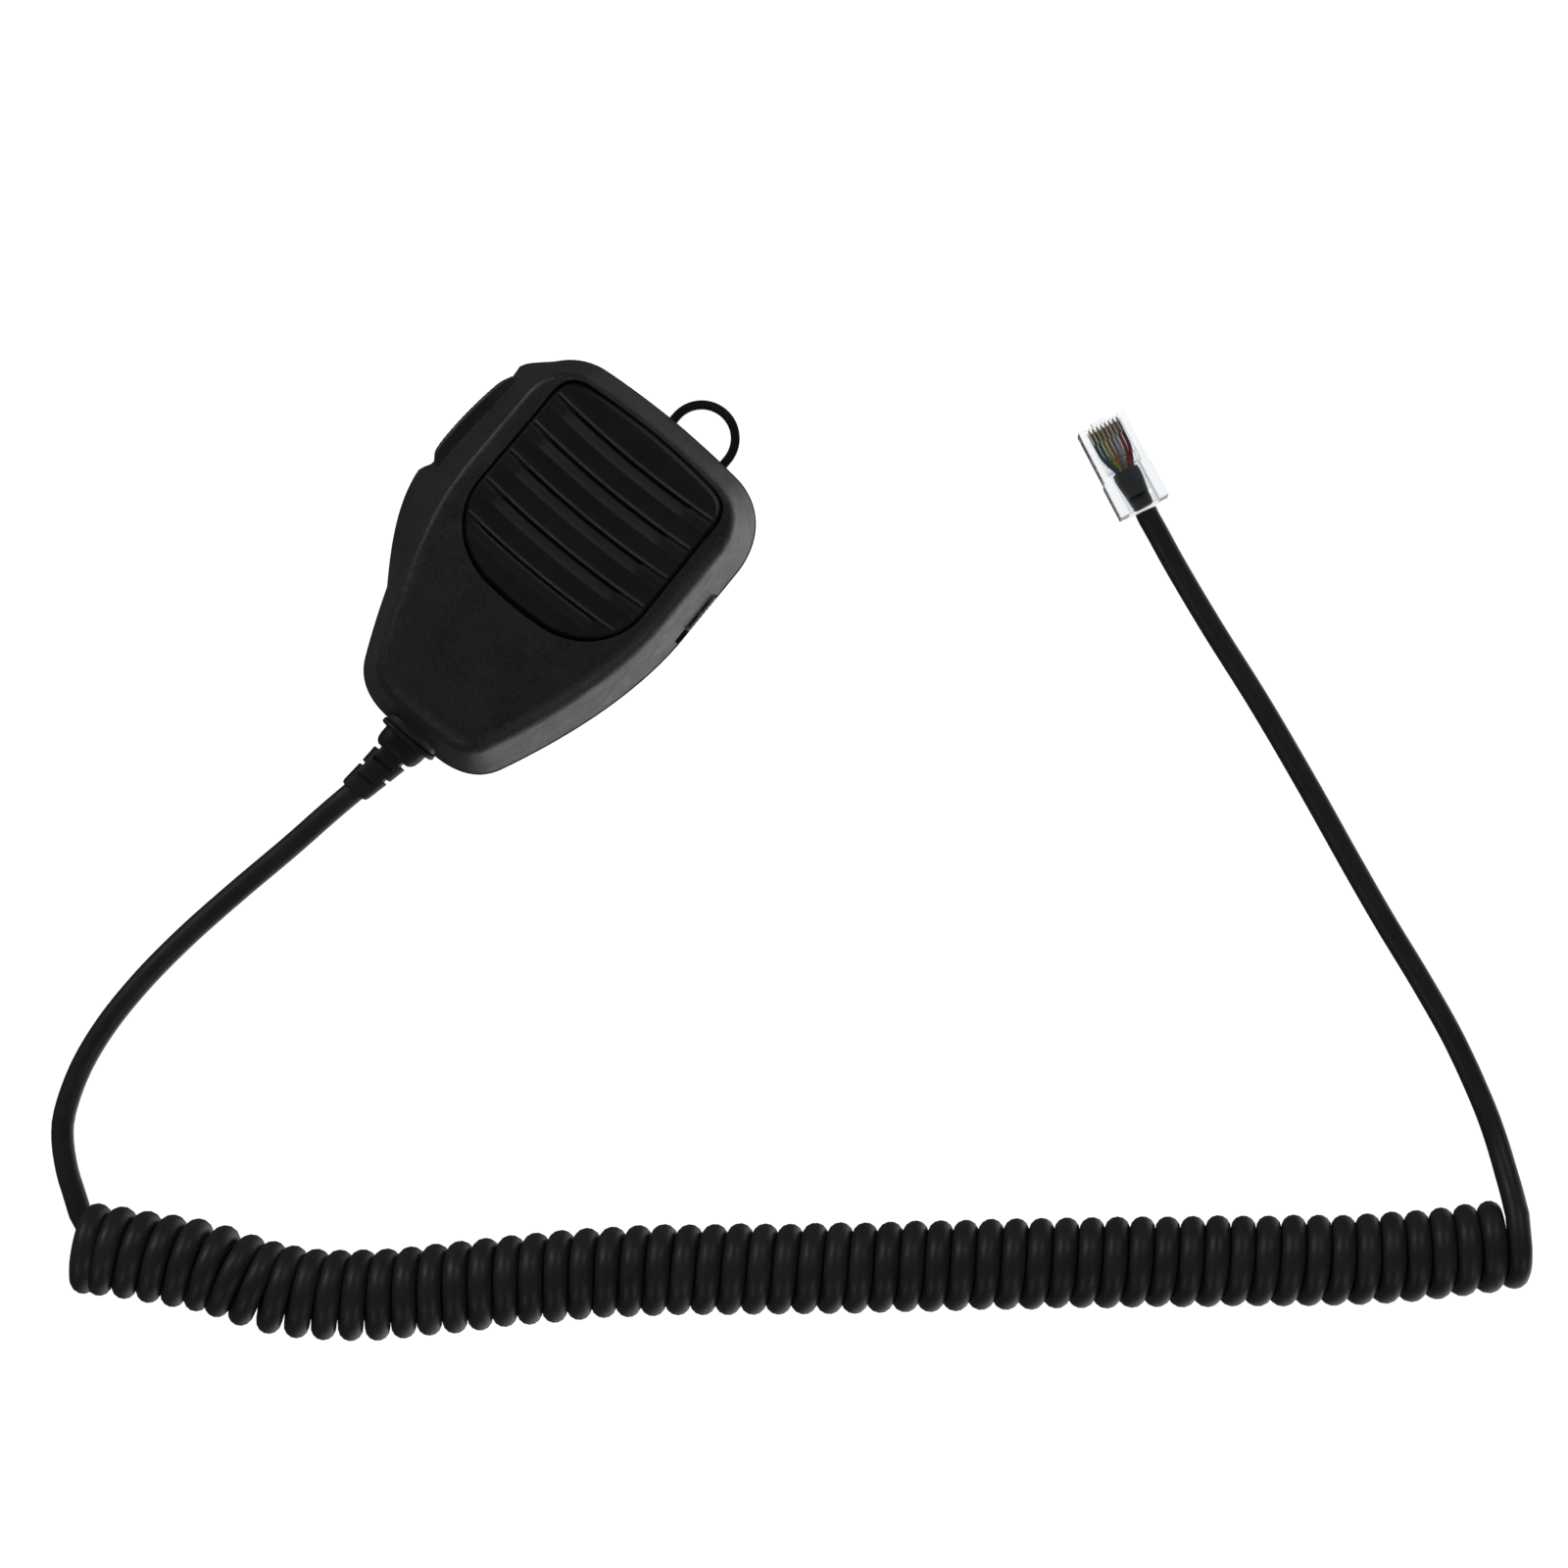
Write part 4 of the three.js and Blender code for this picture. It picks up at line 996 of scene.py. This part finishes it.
def make_grille():
    """The panel: louvres trimmed to a rounded outline, with a slot under each ridge."""
    levels = [(0.25, 27), (0, 27.3), (0, 28.7), (0.12, 29.1), (1, 30.25), (1.35, 30.55), (2, 30.9)]
    outline = skin([at_height(inset(PANEL_RING, mm(step)), mm(z)) for step, z in levels])
    mesh = shaped(panel_slats(), kept=[outline])
    mesh = shaped(mesh, cutters=[slot_under(index) for index in range(RIDGE_COUNT)])
    panel = place_piece("grille_slats", mesh, "grille", smooth_angle=math.radians(28))
    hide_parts("grille_panel")


# ---------- Controls ----------
KEY_FACE = [
    mm(-34.9, 31.2, 0), mm(-36.3, 27.7, 0), mm(-37.4, 20, 0), mm(-37.85, 12.5, 0), mm(-37.6, 7.4, 0),
    mm(-36.2, 4.95, 0),
]
KEY_INNER_X = mm(-32.6)


def levels_between(low, high, levels):
    """(step, height) pairs up from low and, mirrored, up to high, from (step, rise) in millimetres."""
    rising = [(mm(step), low + mm(rise)) for step, rise in levels]
    return rising + [(mm(step), high - mm(rise)) for step, rise in reversed(levels)]


def key_outline():
    """The key seen from the front, with shallow ribs that fade out at the ends of its outer face."""
    rib_pitch = mm(1.3)
    rib_height = mm(0.03)
    fade = mm(2)
    outline = evenly(through(KEY_FACE, mm(0.2)), 150)
    for point in outline:
        from_top = (KEY_Y[1] - mm(3) - point.y) / fade
        from_bottom = (point.y - KEY_Y[0] - mm(2)) / fade
        share = max(0, min(1, from_top, from_bottom))
        point.x += rib_height * share * (1 - math.cos(2 * math.pi * point.y / rib_pitch))
    return outline + [Vector((KEY_INNER_X, key_end_y(KEY_INNER_X), 0)), Vector((KEY_INNER_X, KEY_Y[1], 0))]


def make_key():
    """The push-to-talk key: a bulging bar with ribs, a lug round its pin and a tab for the switch."""
    outline = key_outline()
    rings = []
    for step, z in levels_between(*KEY_Z, [(0.9, 0), (0.45, 0.15), (0.15, 0.45), (0, 1)]):
        rings.append([Vector((p.x + step if p.x < KEY_INNER_X else p.x, p.y, z)) for p in outline])
    x, y = KEY_PIVOT
    lug = mm(2.4)
    lug_z = mm(6, 14.3)
    ear = bar_along_x(rounded_rectangle((y - lug, lug_z[0]), (y + lug, lug_z[1]), mm(0.5)), mm(-34), x)
    boss = bar_along_z(circle((x, y), lug), *lug_z)
    tab = bar_along_x(rounded_rectangle(mm(10.5, 8.8), mm(13.5, 12), mm(0.4)), mm(-33.6), mm(-30))
    bore = bar_along_z(circle((x, y), mm(1.3)), mm(5), mm(16))
    mesh = shaped(skin(rings), added=[ear, boss, tab])
    mesh = shaped(mesh, cutters=[bore])
    key = place_piece("key_cap", mesh, "key", "ptt_key")
    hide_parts("ptt_key")


def make_knob():
    """The slide switch's knob with its row of teeth."""
    outer_x, root_x, inner_x = mm(33.2, 32.6, 28.6)
    teeth = 9
    steps = teeth * 10
    low, high = KNOB_Y
    outline = []
    for i in range(steps + 1):
        wave = abs(math.sin(math.pi * teeth * i / steps)) ** 0.5
        outline.append((root_x + (outer_x - root_x) * wave, low + (high - low) * i / steps))
    outline += [(inner_x, high), (inner_x, low)]
    rings = []
    for step, z in levels_between(*KNOB_Z, [(0.35, 0), (0.1, 0.12), (0, 0.4)]):
        rings.append([Vector((x - step if x > inner_x else x, y, z)) for x, y in outline])
    # Its mid-grey material is a painted highlight on a black knob.
    knob = place_piece("knob_cap", skin(rings), "slider", "slider", math.radians(50))
    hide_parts("slide_knob")


# ---------- Hanger and screws ----------
def make_hanger():
    """The plate behind the back and the loop that stands out of its top."""
    cx, cy = LOOP_CENTRE
    (left, bottom), (right, top) = HANGER_LOW, HANGER_HIGH
    corner = mm(0.8)
    arc_steps = 40
    arc = [math.pi * i / arc_steps for i in range(arc_steps + 1)]
    inner = LOOP_RADIUS - LOOP_BAND
    outside = [(cx + LOOP_RADIUS * math.cos(a), cy + LOOP_RADIUS * math.sin(a)) for a in arc]
    outside += [(cx - LOOP_RADIUS, top), (left + corner, top), (left, top - corner), (left, bottom + corner)]
    outside += [(left + corner, bottom), (right - corner, bottom), (right, bottom + corner)]
    outside += [(right, top - corner), (right - corner, top), (cx + LOOP_RADIUS, top)]
    opening = [(cx + inner * math.cos(a), cy + inner * math.sin(a)) for a in arc]
    opening += [(cx - inner, top), (cx + inner, top)]
    holes = [circle(place, mm(1.4)) for place in HANGER_SCREWS]
    mesh = plate([outside, opening, *holes], *HANGER_Z, mm(0.3))
    seats = [bar_along_z(circle(place, mm(2.5)), mm(-1), mm(1.5)) for place in HANGER_SCREWS]
    hanger = place_piece("hanger_loop", shaped(mesh, cutters=seats), "hanger")
    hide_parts("hanger_plate")


def pan_head_screw(name, head_radius, head_height, shank_radius):
    """A cross-head screw that takes its place and length from its CAD node, with its head at the back."""
    low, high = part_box(name)
    x, y = (low.x + high.x) / 2, (low.y + high.y) / 2
    profile = [(0.02, 0), (0.6, 0.02), (0.85, 0.1), (0.97, 0.28), (1, 0.5), (1, 0.94), (0.94, 1)]
    sections = [(head_radius * r, low.z + head_height * h) for r, h in profile]
    sections += [(shank_radius, low.z + head_height), (shank_radius, high.z)]
    solid = skin([[Vector((u, v, z)) for u, v in circle((x, y), r, 40)] for r, z in sections])
    half_slot, half_length = head_radius * 0.13, head_radius * 0.62
    slot_z = (low.z - mm(1), low.z + head_height * 0.6)
    cross = []
    for a, b in ((half_slot, half_length), (half_length, half_slot)):
        slot = rounded_rectangle((x - a, y - b), (x + a, y + b), half_slot * 0.6, 3)
        cross.append(bar_along_z(slot, *slot_z))
    piece = place_piece(name + "_head", shaped(solid, cutters=cross), "steel")
    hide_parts(name)


def make_screws():
    for i in range(len(CASE_SCREWS)):
        pan_head_screw(f"case_screw_{i + 1}", mm(2.45), mm(1.8), mm(1.35))
    for i in range(len(HANGER_SCREWS)):
        pan_head_screw(f"hanger_screw_{i + 1}", mm(2.15), mm(0.95), mm(1.05))


# ---------- Strain relief ----------
def relief_lean(y):
    """How far the relief has turned sideways towards the cord's own line."""
    share = max(0, (RELIEF_TOP_Y - y) / (RELIEF_TOP_Y - RELIEF_END_Y))
    return RELIEF_TOP_X - mm(2) * share**1.4


def relief_ring(radius, y, power=0.8):
    """A slightly flattened ring that stands across the cord, an ellipse where power is 1."""
    sides = 64
    corners = [round_cornered(2 * math.pi * i / sides, power) for i in range(sides)]
    middle = Vector((relief_lean(y), y, RELIEF_Z))
    return [middle + Vector((radius * u, 0, radius * RELIEF_FLATNESS * v)) for u, v in corners]


def make_cord_boss():
    """The short shoulder of the housing that the relief's collar bears on."""
    profile = [(-42, 6.6), (-44, 7), (-46.5, 7), (-46.85, 6.8), (-46.85, 4.7), (-42, 4.7)]  # y, radius
    rings = [relief_ring(mm(radius), mm(y)) for y, radius in profile]
    place_piece("cord_boss", tube_wall(rings), "housing")


def make_strain_relief():
    """Collar, rounded block and a tapered sleeve with notches at the sides, top and bottom."""
    profile = [  # y and radius
        (-41.5, 5.4), (-41.8, 5.6), (-42.6, 5.6), (-42.75, 4.5), (-46.9, 4.5), (-47, 7.1), (-47.2, 7.25),
        (-47.9, 7.25), (-48.25, 7), (-48.4, 5.7), (-50.4, 5.6), (-51.6, 5.35), (-52.3, 4.9), (-52.6, 4.45),
        (-54, 4.4), (-57.9, 4.05), (-59.1, 3.95), (-63.9, 3.6), (-64.6, 3.4), (-64.9, 2.95),
    ]
    rings = [relief_ring(mm(radius), mm(y)) for y, radius in profile]
    bore_ys = [mm(-66 + 2 * i) for i in range(14)]
    cuts = [skin([relief_ring(RELIEF_BORE, y, 1) for y in bore_ys])]
    corner = mm(0.4)
    for y, width in (mm(-53.3, 1.2), mm(-58.5, 1.1)):
        ring = rounded_rectangle((y - width / 2, mm(3)), (y + width / 2, mm(20)), corner, 4)
        for near, far in (mm(-2.95, -9), mm(2.95, 9)):
            cuts.append(bar_along_x(ring, relief_lean(y) + near, relief_lean(y) + far))
    for y, width in (mm(-55.6, 1), mm(-60.8, 0.9)):
        left, right = relief_lean(y) - mm(2.7), relief_lean(y) + mm(2.7)
        ring = rounded_rectangle((left, y - width / 2), (right, y + width / 2), corner, 4)
        for low, high in (mm(14.2, 20), mm(2, 8.2)):
            cuts.append(bar_along_z(ring, low, high))
    mesh = shaped(skin(rings), cutters=cuts)
    relief = place_piece("relief_boot", mesh, "relief", smooth_angle=math.radians(40))
    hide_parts("strain_relief")


# ---------- CAD nodes that stay ----------
NODE_SLOTS = {
    "grille_cloth": "felt",
    "ptt_pin": "steel",
    "ptt_switch_body": "black_part",
    "ptt_switch_plunger": "ivory",
    "slide_switch_lever": "ivory",
    "slide_switch_body": "tin",
    "circuit_board": "board",
    "board_screw_1": "steel",
    "board_screw_2": "steel",
    "board_header": "ivory",
    "lead_connector": "ivory",
    "amplifier_chip": "black_part",
    "capacitor_1": "black_part",
    "capacitor_2": "black_part",
    "mic_capsule": "tin",
    "capsule_boot": "boot",
    "capsule_lead_red": "wire_red",
    "capsule_lead_blue": "wire_blue",
    "inner_wire_1": "wire_red",
    "inner_wire_2": "wire_white",
    "inner_wire_3": "wire_yellow",
    "inner_wire_4": "wire_green",
    "cord_clamp": "tin",
    "clamp_screw_1": "steel",
    "clamp_screw_2": "steel",
    "cord_inner_end": "cord",
    "plug_body": "clear_plastic",
    "plug_latch": "clear_plastic",
}


def dress_nodes():
    """Gives each CAD node that stays its material and a small bevel."""
    contacts = {f"plug_contact_{i + 1}": "gold" for i in range(len(WIRE_COLOURS))}
    for name, slot in {**NODE_SLOTS, **contacts}.items():
        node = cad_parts[name]
        node.data.materials.clear()
        node.data.materials.append(MATERIALS[slot])
        bevel = node.modifiers.new("edge", "BEVEL")
        bevel.width = mm(0.15) if name.startswith("plug") else mm(0.1)
        bevel.segments = 2
        bevel.angle_limit = SHARP_EDGE
        bevel.harden_normals = False


# ---------- The whole scene ----------
make_camera()
make_cord()
make_light()
make_floor()
make_front_shell()
make_rear_cover()
make_grille()
make_key()
make_knob()
make_hanger()
make_screws()
make_cord_boss()
make_strain_relief()
dress_nodes()
